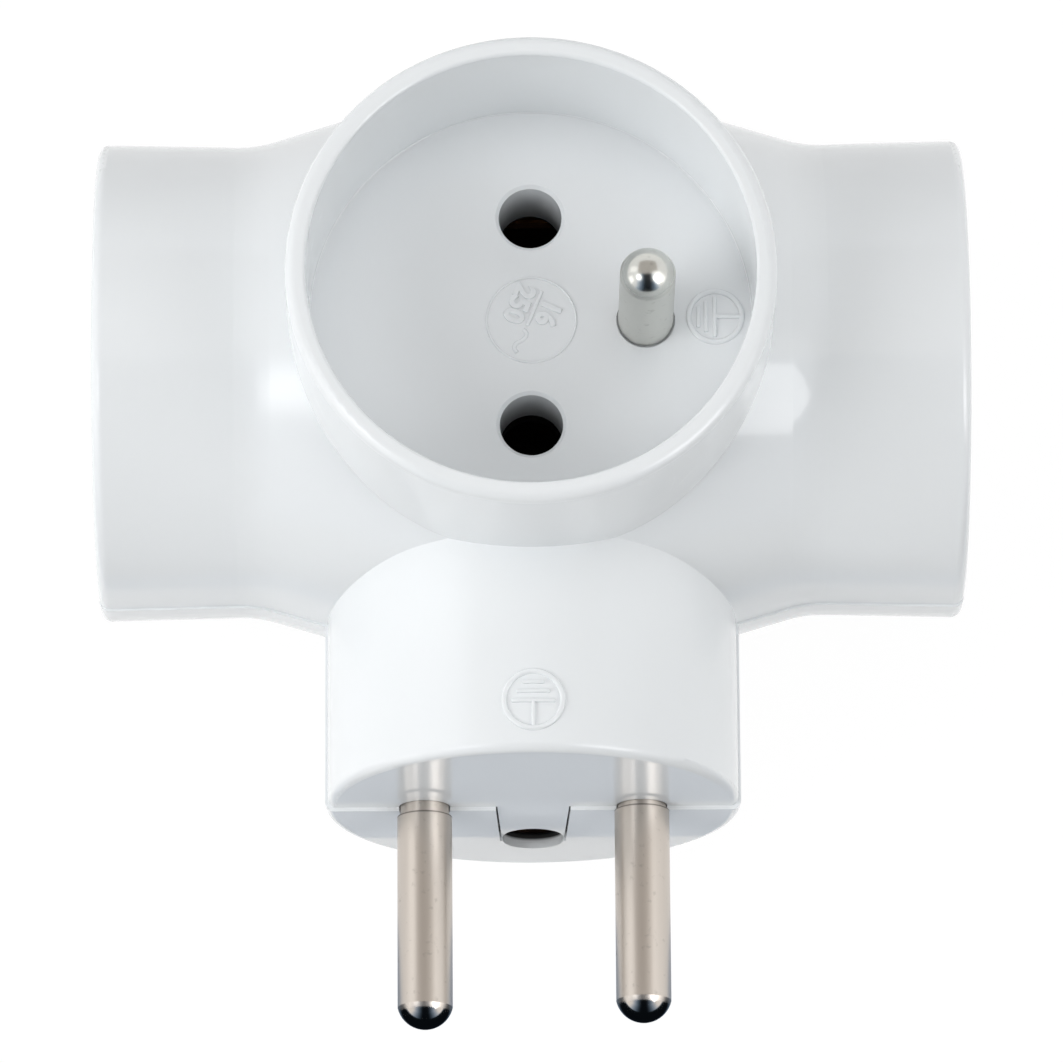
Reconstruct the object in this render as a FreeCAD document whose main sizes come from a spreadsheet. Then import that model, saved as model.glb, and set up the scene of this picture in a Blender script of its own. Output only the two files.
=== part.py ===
import FreeCAD, Part
import os
import re

import Sketcher
from FreeCAD import Placement, Rotation, Vector

# A three-way socket adapter for plugs with two round pins and an earth hole.
# The case is two moulded halves that meet in the plane of the side sockets and the plug. It lies on
# the flat pad of its back: the front socket faces +Z, the side sockets face -X and +X, and the plug
# pins point to -Y. Every piece is modelled about the crossing of the three socket axes, and is then
# lifted so that the back pad lies at Z = 0.
# Sizes are in millimetres and degrees.

SIZES = (
    # the case
    ("axis_height", 23.5, "side and plug axes above the back pad"),
    ("case_wall", 2.0, "wall of the moulded halves"),
    ("crown_rise", 5.75, "barrel's middle above the necks of its side cups"),
    ("crown_arc", 34.0, "curvature of the barrel's crown along its axis"),
    ("flare_angle", 16.7, "slope of the barrel between crown and neck"),
    ("neck_arc", 11.0, "hollow curve between flare and side cup"),
    ("neck_wall", 1.5, "wall of a side cup at its neck"),
    ("side_wall", 1.75, "wall of a side cup at its rim"),
    ("front_wall", 1.8, "wall of the front cup"),
    ("rim_round", 0.9, "rounding outside a rim"),
    ("lip_round", 0.35, "rounding inside a rim"),
    ("plug_length", 18.2, "plug face beyond the outside of the front cup"),
    ("plug_round", 0.8, "rounding of the plug face's edge"),
    ("shell_step", 0.2, "how far the rear half stands proud of the front half"),
    ("face_step", 0.35, "how far its part of the plug face stands proud"),
    # the socket recesses and their floors
    ("recess_radius", 19.3, "socket recess"),
    ("recess_depth", 14.5, "rim to floor"),
    ("face_thickness", 2.0, "plate of a socket face"),
    ("face_play", 0.05, "room round and behind a socket face"),
    ("face_gap", 0.5, "outside of the front cup to the back of a side socket face"),
    ("groove_depth", 0.7, "groove that holds a side socket face"),
    ("rib_height", 0.7, "rib behind that groove, inwards from the recess"),
    ("rib_width", 1.5, "width of that rib"),
    ("ledge_width", 1.7, "ledge under the front socket face"),
    ("ledge_thickness", 1.6, "thickness of that ledge"),
    # live holes, earth pins and plug pins
    ("pin_pitch", 19.0, "between the two live holes or the two plug pins"),
    ("earth_offset", 10.0, "earth pin or earth hole from the middle of the two"),
    ("live_hole_radius", 2.75, "live hole"),
    ("hole_chamfer", 0.3, "edge of a live hole"),
    ("sleeve_wall", 1.2, "wall of the sleeve behind a live hole"),
    ("sleeve_depth", 7.7, "floor to the inner end of the sleeve"),
    ("pin_radius", 2.4, "plug pins and earth pins"),
    ("dome_height", 1.9, "rounded end of a pin"),
    ("earth_pin_length", 14.0, "earth pin above the socket floor"),
    ("earth_seat_gap", 0.15, "seat of an earth pin, wider than the pin"),
    ("earth_seat_depth", 0.5, "depth of that seat"),
    ("stem_radius", 1.6, "earth pin through the socket face"),
    ("earth_pin_stand", 0.12, "neck of an earth pin above its seat"),
    ("plug_pin_length", 19.05, "plug pin from its neck to its end"),
    ("pin_stand", 0.45, "neck of a plug pin outside the plug face"),
    ("neck_length", 1.7, "whole length of that neck"),
    ("pin_neck_radius", 2.12, "neck of a pin"),
    ("pin_lip", 0.65, "thickness of the plug face round a neck"),
    ("pin_clearance", 0.1, "room round a plug pin in the case"),
    ("pin_play", 0.5, "how far a plug pin can slide in its seat"),
    ("collar_radius", 3.5, "collar that holds a plug pin in the case"),
    ("collar_length", 1.5, "length of that collar"),
    ("collar_room", 2.0, "collar to the wall of the plug"),
    ("pin_inside", 9.1, "shoulder of a plug pin behind the plug face"),
    ("rivet_radius", 1.5, "riveted end of a plug pin"),
    ("rivet_head_radius", 2.2, "its head"),
    ("rivet_head", 0.8, "thickness of a rivet head"),
    # the inside of the plug
    ("face_wall", 3.0, "plug face"),
    ("bulkhead", 2.0, "wall behind the pins' collars"),
    ("chamber_wall", 3.0, "plug's wall round the collars"),
    ("earth_hole_radius", 2.65, "earth hole in the plug face"),
    ("earth_lip", 0.85, "thickness of the face at the earth hole"),
    ("earth_well_radius", 3.2, "wider hole behind that lip"),
    ("tongue_top", 3.15, "half width of the front half's tongue at the parting"),
    ("tongue_end", 2.78, "half width at its end"),
    ("tongue_gap", 0.12, "gap round the tongue"),
    # bars and contacts
    ("bar_thickness", 0.8, "sheet of the bars"),
    ("bend_radius", 0.5, "inside radius of a bend"),
    ("bar_offset", 3.2, "bar from the axis of the pins that it serves"),
    ("bar_margin", 1.5, "live bar beyond the mouths of its contacts"),
    ("bar_half_height", 3.2, "half height of a live bar"),
    ("riser_half_width", 3.0, "half width of its upright"),
    ("foot_width", 2.8, "foot that stands in the carrier"),
    ("foot_gap", 0.4, "foot to the other bar's leg"),
    ("leg_width", 4.0, "leg to a plug pin"),
    ("tab_top", 2.8, "riveted tab above the pin's axis"),
    ("contact_gap", 2.0, "sleeve to contact"),
    ("contact_root", 4.35, "inner end of a side contact from the crossing"),
    ("contact_foot", 2.75, "lower end of a front contact under the axes"),
    ("front_grip", 6.8, "mouth of a front contact above the axes"),
    ("contact_thickness", 0.5, "sheet of a contact"),
    ("grip_half", 2.55, "half gap of a contact at its grip"),
    ("grip_flare", 0.8, "how far its mouth opens"),
    ("grip_root", 0.25, "how far its root is wider than its grip"),
    ("contact_cheek", 2.0, "cheek of a contact beyond the pin's axis"),
    ("strip_half_width", 2.5, "half width of the earth strip"),
    ("strip_depth", 13.0, "top of the earth strip under the axes"),
    ("strip_gap", 0.4, "upright of the earth strip from the end of the carrier"),
    ("strip_tab", 3.0, "earth strip beyond an earth pin's axis"),
    ("eyelet_margin", 2.3, "earth strip round the screw boss"),
    ("eyelet_gap", 0.3, "room between boss and eyelet"),
    ("sleeve_inner_radius", 2.45, "inside of the plug's earth contact"),
    ("sleeve_sheet", 0.5, "its sheet"),
    ("sleeve_slit", 1.0, "its slit"),
    ("sleeve_clearance", 2.6, "its inner end from the screw boss"),
    ("sleeve_setback", 1.1, "its mouth behind the plug face"),
    ("foot_setback", 1.0, "its foot and the strip's end from the bulkhead"),
    # the carrier
    ("carrier_top", 6.0, "floor of the carrier under the axes"),
    ("carrier_floor", 2.0, "its thickness"),
    ("carrier_end", 0.7, "its end beyond the legs"),
    ("carrier_side", 2.1, "its side beyond the live bars' middle"),
    ("carrier_corner", 3.0, "its corner radius"),
    ("barrier_inner", 2.9, "half gap between its two barriers"),
    ("barrier_wall", 1.2, "a barrier"),
    ("barrier_inset", 0.6, "end of a barrier from the end of the carrier"),
    ("slot_gap", 0.2, "room for metal in the carrier's slots"),
    ("post_radius", 2.0, "post of the rear half under the carrier"),
    ("post_x", 10.0, "posts from the middle, along the side axis"),
    ("post_y", 9.0, "posts from the middle, along the plug axis"),
    ("arm_rib_inset", 3.4, "ribs under the earth strip's arms, from the side faces"),
    ("leg_rib_inset", 4.3, "rib under its leg, from the bulkhead"),
    ("strip_rib", 1.4, "thickness of such a rib"),
    # screws and their bosses
    ("boss_gap", 2.3, "screw boss to a live bar"),
    ("screw_radius", 1.45, "screw"),
    ("screw_clearance", 0.15, "room round a screw in the rear half"),
    ("pilot_clearance", 0.03, "room round a screw in the front half"),
    ("screw_length", 17.0, "under its head"),
    ("screw_head_radius", 2.8, "its head"),
    ("screw_head", 1.9, "thickness of its head"),
    ("head_round", 0.8, "rounding of its head"),
    ("drive_width", 0.9, "cross slot in the head"),
    ("drive_length", 3.4, "length of that slot"),
    ("drive_depth", 1.1, "depth of that slot"),
    ("head_clearance", 0.3, "room round the head"),
    ("screw_seat", 12.0, "seat of the head under the axes"),
    ("boss_radius", 3.2, "screw boss"),
    ("boss_foot_radius", 4.4, "rear boss round the screw head"),
    ("seat_thickness", 1.5, "material over the screw head"),
    ("boss_meet", 3.0, "where the two bosses meet, under the axes"),
    ("pilot_margin", 2.0, "pilot hole beyond the screw's end"),
)

doc = FreeCAD.newDocument("multi_socket_adapter")
sheet = doc.addObject("Spreadsheet::Sheet", "sizes")
for row, (alias, size, meaning) in enumerate(SIZES, start=1):
    sheet.set(f"A{row}", alias)
    sheet.set(f"B{row}", str(size))
    sheet.set(f"C{row}", meaning)
    sheet.setAlias(f"B{row}", alias)
doc.recompute()


# Formulas on the sheet's cells

NECK_RADIUS = "(recess_radius + neck_wall)"
SIDE_RIM_RADIUS = "(recess_radius + side_wall)"
FRONT_CUP_RADIUS = "(recess_radius + front_wall)"
CROWN_RADIUS = f"({NECK_RADIUS} + crown_rise)"
CROWN_END_X = "(crown_arc * sin(flare_angle))"
CROWN_END_RADIUS = f"({CROWN_RADIUS} - crown_arc * (1 - cos(flare_angle)))"
NECK_RISE = "(neck_arc * (1 - cos(flare_angle)))"
NECK_START_X = f"({CROWN_END_X} + ({CROWN_END_RADIUS} - {NECK_RADIUS} - {NECK_RISE}) / tan(flare_angle))"
NECK_END_X = f"({NECK_START_X} + neck_arc * sin(flare_angle))"
SIDE_FLOOR = f"({FRONT_CUP_RADIUS} + face_gap + face_thickness)"
SIDE_REACH = f"({SIDE_FLOOR} + recess_depth)"
SIDE_FACE_BACK = f"({SIDE_FLOOR} - face_thickness)"
GROOVE_START = f"({SIDE_FACE_BACK} - face_play)"
RIB_START = f"({GROOVE_START} - rib_width)"
CONTACT_MOUTH = "(sleeve_depth + contact_gap)"
FRONT_FLOOR = f"({CONTACT_MOUTH} + front_grip)"
FRONT_REACH = f"({FRONT_FLOOR} + recess_depth)"
FRONT_FACE_BACK = f"({FRONT_FLOOR} - face_thickness)"
HALF_PITCH = "(pin_pitch / 2)"
PLUG_RADIUS = f"({HALF_PITCH} + collar_radius + collar_room + chamber_wall)"
PLUG_REACH = f"({FRONT_CUP_RADIUS} + plug_length)"
PLUG_BORE = f"({PLUG_RADIUS} - case_wall)"
CHAMBER_LENGTH = "(collar_length + pin_play)"
CHAMBER_FRONT = f"({PLUG_REACH} - face_wall)"
BULKHEAD_FRONT = f"({CHAMBER_FRONT} - {CHAMBER_LENGTH})"
BULKHEAD_BACK = f"({BULKHEAD_FRONT} - bulkhead)"
BAR_MIDDLE = f"({HALF_PITCH} + bar_offset + bar_thickness / 2)"
SCREW_Y = f"({BAR_MIDDLE} + bar_thickness / 2 + boss_gap + boss_radius)"
PIN_SHOULDER = f"({PLUG_REACH} - pin_inside)"
SIDE_CONTACT = f"({SIDE_FLOOR} - {CONTACT_MOUTH} - contact_root)"
FRONT_CONTACT = "(front_grip + contact_foot)"
BAR_HALF_LENGTH = f"({SIDE_FLOOR} - {CONTACT_MOUTH} + bar_margin)"
FOOT_X = f"({HALF_PITCH} - leg_width / 2 - foot_gap - foot_width / 2)"
STRIP_BOTTOM = "(strip_depth + bar_thickness)"
EYELET_RADIUS = "(boss_foot_radius + eyelet_gap)"
CARRIER_END = f"({HALF_PITCH} + leg_width / 2 + carrier_end)"
SLEEVE_MOUTH = f"({PLUG_REACH} - sleeve_setback)"
SLEEVE_ROOT = f"({SCREW_Y} + boss_foot_radius + sleeve_clearance)"
STRIP_END = f"({BULKHEAD_BACK} - foot_setback)"
DOME_RADIUS = "((pin_radius * pin_radius + dome_height * dome_height) / (2 * dome_height))"
BEYOND = 5.0  # how far a cutting tool reaches past what it cuts


def formula(text):
    """The text as an expression: every alias in it gets the sheet's name."""
    return re.sub(r"\b([a-z][a-z_]+)\b(?!\()", r"sizes.\1", str(text))


def size_of(text):
    """The number that a formula has now."""
    return float(sheet.evalExpression(formula(text)))


def bind(item, **formulas):
    """Binds properties of an object to formulas; a double underscore stands for a dot."""
    for name, text in formulas.items():
        item.setExpression(name.replace("__", "."), formula(text))
    return item


def place(item, at=("0", "0", "0"), turn=Rotation()):
    """Turns an object and binds its place to three formulas."""
    item.Placement = Placement(Vector(*(size_of(text) for text in at)), turn)
    for letter, text in zip("xyz", at):
        item.setExpression(f"Placement.Base.{letter}", formula(text))
    return item


def lifted(at):
    """A place given about the crossing of the socket axes, in the frame of the whole part."""
    return at[0], at[1], f"axis_height + {at[2]}"


# Sketches

class Bow:
    """A round stretch between two points of an outline, its centre to the left or right of the way."""

    def __init__(self, radius, side):
        self.radius = radius
        self.side = side

    def middle(self, start, end):
        """The point halfway along the shorter arc from start to end."""
        chord = end - start
        to_centre = Vector(-chord.y, chord.x, 0).normalize() * (1 if self.side == "left" else -1)
        radius = size_of(self.radius)
        reach = max(radius**2 - (chord.Length / 2) ** 2, 0) ** 0.5
        return (start + end) / 2 + to_centre * (reach - radius)


def mirrored(path):
    """The path on the other side of the vertical axis, followed backwards."""
    return [step if isinstance(step, Bow) else (f"-({step[0]})", step[1]) for step in reversed(path)]


def hold(sketch, geometry, end, point):
    """Fixes one point of a sketch's geometry to two formulas."""
    for kind, text in zip(("DistanceX", "DistanceY"), point):
        index = sketch.addConstraint(Sketcher.Constraint(kind, -1, 1, geometry, end, size_of(text)))
        sketch.setExpression(f"Constraints[{index}]", formula(text))


def draw_outline(sketch, path):
    """Draws a closed outline through points given as pairs of formulas, with Bows between some of them."""
    points = [step for step in path if not isinstance(step, Bow)]
    bows = {}
    count = 0
    for step in path:
        if isinstance(step, Bow):
            bows[count - 1] = step
        else:
            count += 1
    places = [Vector(size_of(x), size_of(y), 0) for x, y in points]
    for index, point in enumerate(points):
        after = (index + 1) % count
        start, end = places[index], places[after]
        ends = (1, 2)
        if index in bows:
            bow = bows[index]
            middle = bow.middle(start, end)
            # An arc in a sketch always runs counter-clockwise.
            if bow.side == "right":
                start, end, ends = end, start, (2, 1)
            edge = sketch.addGeometry(Part.Arc(start, middle, end))
            radius = sketch.addConstraint(Sketcher.Constraint("Radius", edge, size_of(bow.radius)))
            sketch.setExpression(f"Constraints[{radius}]", formula(bow.radius))
        else:
            edge = sketch.addGeometry(Part.LineSegment(start, end))
        hold(sketch, edge, ends[0], point)
        hold(sketch, edge, ends[1], points[after])
    return sketch


def draw_circle(sketch, centre, radius):
    """Draws a circle with its centre and radius bound to formulas."""
    middle = Vector(size_of(centre[0]), size_of(centre[1]), 0)
    edge = sketch.addGeometry(Part.Circle(middle, Vector(0, 0, 1), size_of(radius)))
    hold(sketch, edge, 3, centre)
    index = sketch.addConstraint(Sketcher.Constraint("Radius", edge, size_of(radius)))
    sketch.setExpression(f"Constraints[{index}]", formula(radius))
    return sketch


def rectangle(low, high):
    """The outline of a rectangle between two opposite corners."""
    return [(low[0], low[1]), (high[0], low[1]), (high[0], high[1]), (low[0], high[1])]


def bent_strip(corners, thickness):
    """The outline of a folded sheet, seen on its edge: corners are on its middle, with square turns."""
    places = [Vector(size_of(u), size_of(v), 0) for u, v in corners]
    ways = [(b - a).normalize() for a, b in zip(places, places[1:])]
    ways = [Vector(round(way.x), round(way.y), 0) for way in ways]

    def side(sign):
        """One face of the sheet, from the first corner to the last."""
        steps = []
        for index, (u, v) in enumerate(corners):
            before = ways[max(index - 1, 0)]
            after = ways[min(index, len(ways) - 1)]
            turn = before.x * after.y - before.y * after.x
            lean = before + after if turn else before
            u = f"({u}) + {-lean.y * sign} * {thickness} / 2"
            v = f"({v}) + {lean.x * sign} * {thickness} / 2"
            if not turn:
                steps.append((u, v))
                continue
            inside = turn * sign > 0
            radius = "bend_radius" if inside else f"(bend_radius + {thickness})"
            steps.append((f"{u} - {before.x} * {radius}", f"{v} - {before.y} * {radius}"))
            steps.append(Bow(radius, "left" if turn > 0 else "right"))
            steps.append((f"{u} + {after.x} * {radius}", f"{v} + {after.y} * {radius}"))
        return steps

    back = [
        Bow(step.radius, "right" if step.side == "left" else "left") if isinstance(step, Bow) else step
        for step in reversed(side(-1))
    ]
    return side(1) + back


def free_sketch(name, path, upright=False):
    """A sketch outside any body, in the XY plane, or upright in the XZ plane."""
    sketch = doc.addObject("Sketcher::SketchObject", name)
    if upright:
        sketch.Placement = Placement(Vector(), Rotation(Vector(1, 0, 0), 90))
    return draw_outline(sketch, path)


# Primitives and booleans

ALONG_X = Rotation(Vector(0, 1, 0), 90)
ALONG_MINUS_Y = Rotation(Vector(1, 0, 0), 90)


def turned(name, sketch, axis, angle=360):
    """A solid of revolution of a free sketch about an axis through the origin."""
    item = doc.addObject("Part::Revolution", name)
    item.Source = sketch
    item.Axis = axis
    item.Angle = angle
    item.Solid = True
    return item


def rod(name, radius, start, end, at=("0", "0"), along="z"):
    """A cylinder between two heights, upright, or along -Y where start and end count down the plug."""
    item = bind(doc.addObject("Part::Cylinder", name), Radius=radius, Height=f"({end}) - ({start})")
    if along == "z":
        return place(item, (at[0], at[1], start))
    return place(item, (at[0], f"-({start})", at[1]), ALONG_MINUS_Y)


def block(name, low, high):
    """A box between two corners."""
    item = doc.addObject("Part::Box", name)
    bind(item, **{key: f"({b}) - ({a})" for key, a, b in zip(("Length", "Width", "Height"), low, high)})
    return place(item, low)


def fused(name, *items):
    """Several objects as one solid."""
    item = doc.addObject("Part::MultiFuse", name)
    item.Shapes = list(items)
    return item


def cut(name, base, tool):
    """The base without the tool."""
    item = doc.addObject("Part::Cut", name)
    item.Base = base
    item.Tool = tool
    return item


def common(name, base, tool):
    """What two objects share."""
    item = doc.addObject("Part::Common", name)
    item.Base = base
    item.Tool = tool
    return item


# Features of a body

class Piece:
    """A body with short calls for its sketches and features."""

    def __init__(self, label):
        self.label = label
        self.body = doc.addObject("PartDesign::Body", label)
        self.body.Label = label
        self.count = 0

    def name(self, kind):
        """A name of its own for the next sketch or feature."""
        self.count += 1
        return f"{self.label}_{kind}_{self.count}"

    def sketch(self, role, *paths, circles=(), lift="0"):
        """A sketch on an origin plane of the body, lifted along that plane's normal."""
        plane = next(item for item in self.body.Origin.OriginFeatures if item.Role == role)
        sketch = self.body.newObject("Sketcher::SketchObject", self.name("sketch"))
        sketch.AttachmentSupport = (plane, "")
        sketch.MapMode = "FlatFace"
        sketch.setExpression("AttachmentOffset.Base.z", formula(lift))
        for path in paths:
            draw_outline(sketch, path)
        for centre, radius in circles:
            draw_circle(sketch, centre, radius)
        return sketch

    def feature(self, kind, sketch, **formulas):
        """A feature of the body made from a sketch."""
        item = self.body.newObject(f"PartDesign::{kind}", self.name(kind.lower()))
        item.Profile = sketch
        return bind(item, **formulas)

    def pad(self, sketch, length, down=False):
        """Adds the sketch's outline over a length."""
        item = self.feature("Pad", sketch, Length=length)
        item.Reversed = down
        return item

    def pocket(self, sketch, length, down=True):
        """Cuts the sketch's outline over a length, and sees to it that something is cut."""
        doc.recompute()
        before = self.body.Shape.Volume
        item = self.feature("Pocket", sketch, Length=length)
        item.Reversed = not down
        doc.recompute()
        if self.body.Shape.Volume > before - 1e-6:
            raise RuntimeError(f"{item.Name} cuts nothing")
        return item

    def spin(self, sketch, reference="V_Axis"):
        """Adds a solid of revolution about an axis of the sketch."""
        item = self.feature("Revolution", sketch)
        item.ReferenceAxis = (sketch, [reference])
        item.Angle = 360
        return item

    def put(self, at, turn=Rotation()):
        """Places the body, with its place given about the crossing of the socket axes."""
        place(self.body, lifted(at), turn)
        return self.body


# The case

def barrel_outline(proud):
    """The barrel with its two side cups, above its axis."""
    half = [
        (CROWN_END_X, f"{CROWN_END_RADIUS} + {proud}"),
        (NECK_START_X, f"{NECK_RADIUS} + {NECK_RISE} + {proud}"),
        Bow("neck_arc", "left"),
        (NECK_END_X, f"{NECK_RADIUS} + {proud}"),
        (f"{SIDE_REACH} - rim_round", f"{SIDE_RIM_RADIUS} + {proud}"),
        Bow("rim_round", "right"),
        (SIDE_REACH, f"{SIDE_RIM_RADIUS} - rim_round + {proud}"),
        (SIDE_REACH, "0"),
    ]
    return mirrored(half) + [Bow("crown_arc", "right")] + half


def hollow_outline():
    """The hollow of the barrel and the two side recesses, above their axis."""
    groove = "recess_radius + groove_depth"
    rib = "recess_radius - rib_height"
    half = [
        (CROWN_END_X, f"{CROWN_END_RADIUS} - case_wall"),
        (RIB_START, f"{CROWN_END_RADIUS} - case_wall - tan(flare_angle) * ({RIB_START} - {CROWN_END_X})"),
        (RIB_START, rib),
        (GROOVE_START, rib),
        (GROOVE_START, groove),
        (SIDE_FLOOR, groove),
        (SIDE_FLOOR, "recess_radius"),
        (f"{SIDE_REACH} - lip_round", "recess_radius"),
        Bow("lip_round", "left"),
        (SIDE_REACH, "recess_radius + lip_round"),
        (f"{SIDE_REACH} + {BEYOND}", "recess_radius + lip_round"),
        (f"{SIDE_REACH} + {BEYOND}", "0"),
    ]
    return mirrored(half) + [Bow("crown_arc", "right")] + half


def plug_outline(proud, face):
    """Half of the plug's section, with its axis pointing down the sketch."""
    return [
        ("0", "0"),
        ("0", f"-({PLUG_REACH} + {face})"),
        (f"{PLUG_RADIUS} + {proud} - plug_round", f"-({PLUG_REACH} + {face})"),
        Bow("plug_round", "left"),
        (f"{PLUG_RADIUS} + {proud}", f"-({PLUG_REACH} + {face} - plug_round)"),
        (f"{PLUG_RADIUS} + {proud}", "0"),
    ]


def cup_outline():
    """Section of the front cup's wall, with the ledge under its socket face."""
    ledge_bottom = f"{FRONT_FACE_BACK} - ledge_thickness"
    ledge = "recess_radius - ledge_width"
    return [
        (ledge, ledge_bottom),
        (FRONT_CUP_RADIUS, ledge_bottom),
        (FRONT_CUP_RADIUS, f"{FRONT_REACH} - rim_round"),
        Bow("rim_round", "left"),
        (f"{FRONT_CUP_RADIUS} - rim_round", FRONT_REACH),
        ("recess_radius + lip_round", FRONT_REACH),
        Bow("lip_round", "left"),
        ("recess_radius", f"{FRONT_REACH} - lip_round"),
        ("recess_radius", FRONT_FACE_BACK),
        (ledge, FRONT_FACE_BACK),
    ]


def tongue(name, gap, top):
    """The tongue of the front half that closes the plug face down to the earth hole."""
    path = [
        (f"-(tongue_top + {gap})", top),
        (f"-(tongue_top + {gap})", "0"),
        (f"-(tongue_end + {gap})", f"-(earth_offset + {gap})"),
        (f"tongue_end + {gap}", f"-(earth_offset + {gap})"),
        (f"tongue_top + {gap}", "0"),
        (f"tongue_top + {gap}", top),
    ]
    item = doc.addObject("Part::Extrusion", name)
    item.Base = free_sketch(f"{name}_sketch", path, upright=True)
    item.DirMode = "Custom"
    item.Dir = Vector(0, -1, 0)
    item.Solid = True
    return item


def plug_cuts(name):
    """Tools that open a half for the pins, their collars and the earth hole."""
    sides = (("left", f"-{HALF_PITCH}"), ("right", HALF_PITCH))
    far = f"{PLUG_REACH} + {BEYOND}"
    tools = [rod(f"{name}_cavity", PLUG_BORE, "0", BULKHEAD_BACK, along="y")]
    chamber = f"{PLUG_RADIUS} - chamber_wall"
    tools.append(rod(f"{name}_chamber", chamber, BULKHEAD_FRONT, CHAMBER_FRONT, along="y"))
    for side, x in sides:
        bore, lip = "pin_radius + pin_clearance", f"{PLUG_REACH} - pin_lip"
        tools.append(rod(f"{name}_{side}_saddle", bore, f"{BULKHEAD_BACK} - 1", lip, (x, "0"), "y"))
        tools.append(rod(f"{name}_{side}_lip", "pin_neck_radius + pin_clearance", CHAMBER_FRONT, far, (x, "0"), "y"))
    hole = ("0", "-earth_offset")
    tools.append(rod(f"{name}_earth_hole", "earth_hole_radius", CHAMBER_FRONT, far, hole, "y"))
    well_end = f"{PLUG_REACH} - earth_lip"
    well_start = f"{BULKHEAD_BACK} - 1"
    tools.append(rod(f"{name}_earth_well", "earth_well_radius", well_start, well_end, hole, "y"))
    return tools


def screw_positions():
    """Names and places of the two screws along the plug's axis."""
    return (("upper", SCREW_Y), ("lower", f"-{SCREW_Y}"))


def front_shell():
    """The front half: front cup, half of each side cup, half of the plug, and the tongue."""
    barrel = turned("front_barrel", free_sketch("front_barrel_sketch", barrel_outline("0")), Vector(1, 0, 0), 180)
    plug = turned("front_plug", free_sketch("front_plug_sketch", plug_outline("0", "0")), Vector(0, 1, 0), -180)
    hollow = turned("front_hollow", free_sketch("front_hollow_sketch", hollow_outline()), Vector(1, 0, 0))
    middle = "recess_radius + front_wall / 2"
    opening = rod("front_opening", middle, FRONT_FACE_BACK, f"{FRONT_REACH} + {BEYOND}")
    cavity = rod("front_cavity", PLUG_BORE, "0", BULKHEAD_BACK, along="y")
    skin = cut(
        "front_skin",
        fused("front_envelope", barrel, plug),
        fused("front_voids", hollow, opening, cavity),
    )
    cup = turned("front_cup", free_sketch("front_cup_sketch", cup_outline(), upright=True), Vector(0, 0, 1))
    tab = bind(tongue("front_tongue", "0", "case_wall"), LengthFwd="face_wall")
    place(tab, ("0", f"-{CHAMBER_FRONT}", "0"))
    top = f"{FRONT_FACE_BACK} - ledge_thickness / 2"
    bosses = [rod(f"front_{side}_boss", "boss_radius", "-boss_meet", top, ("0", y)) for side, y in screw_positions()]
    solid = fused("front_solid", skin, cup, tab, *bosses)
    pilots = [
        rod(
            f"front_{side}_pilot",
            "screw_radius + pilot_clearance",
            "-boss_meet - 1",
            "screw_length - screw_seat + pilot_margin",
            ("0", y),
        )
        for side, y in screw_positions()
    ]
    shell = cut("front_shell", solid, fused("front_cuts", *plug_cuts("front")[1:], *pilots))
    return place(shell, lifted(("0", "0", "0")))


def rear_inner():
    """Bosses, posts and ribs of the rear half, before they are trimmed to its outside."""
    deep = f"-(axis_height + {BEYOND})"
    items = []
    for side, y in screw_positions():
        boss_shoulder = "seat_thickness - screw_seat"
        items.append(rod(f"rear_{side}_boss_foot", "boss_foot_radius", deep, boss_shoulder, ("0", y)))
        items.append(rod(f"rear_{side}_boss", "boss_radius", deep, "-boss_meet", ("0", y)))
    for end, y in (("near", "-post_y"), ("far", "post_y")):
        for side, x in (("left", "-post_x"), ("right", "post_x")):
            post_top = "-(carrier_top + carrier_floor)"
            items.append(rod(f"rear_{end}_{side}_post", "post_radius", deep, post_top, (x, y)))
    half = "strip_half_width + 1"
    top = f"-{STRIP_BOTTOM}"
    rib_x = f"({SIDE_FACE_BACK} - arm_rib_inset)"
    for side, x in (("left", f"-{rib_x}"), ("right", rib_x)):
        low = (f"{x} - strip_rib / 2", f"-({half})", deep)
        items.append(block(f"rear_{side}_rib", low, (f"{x} + strip_rib / 2", half, top)))
    rib_y = f"-({BULKHEAD_BACK} - leg_rib_inset)"
    low = (f"-({half})", f"{rib_y} - strip_rib / 2", deep)
    items.append(block("rear_leg_rib", low, (half, f"{rib_y} + strip_rib / 2", top)))
    return items


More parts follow.
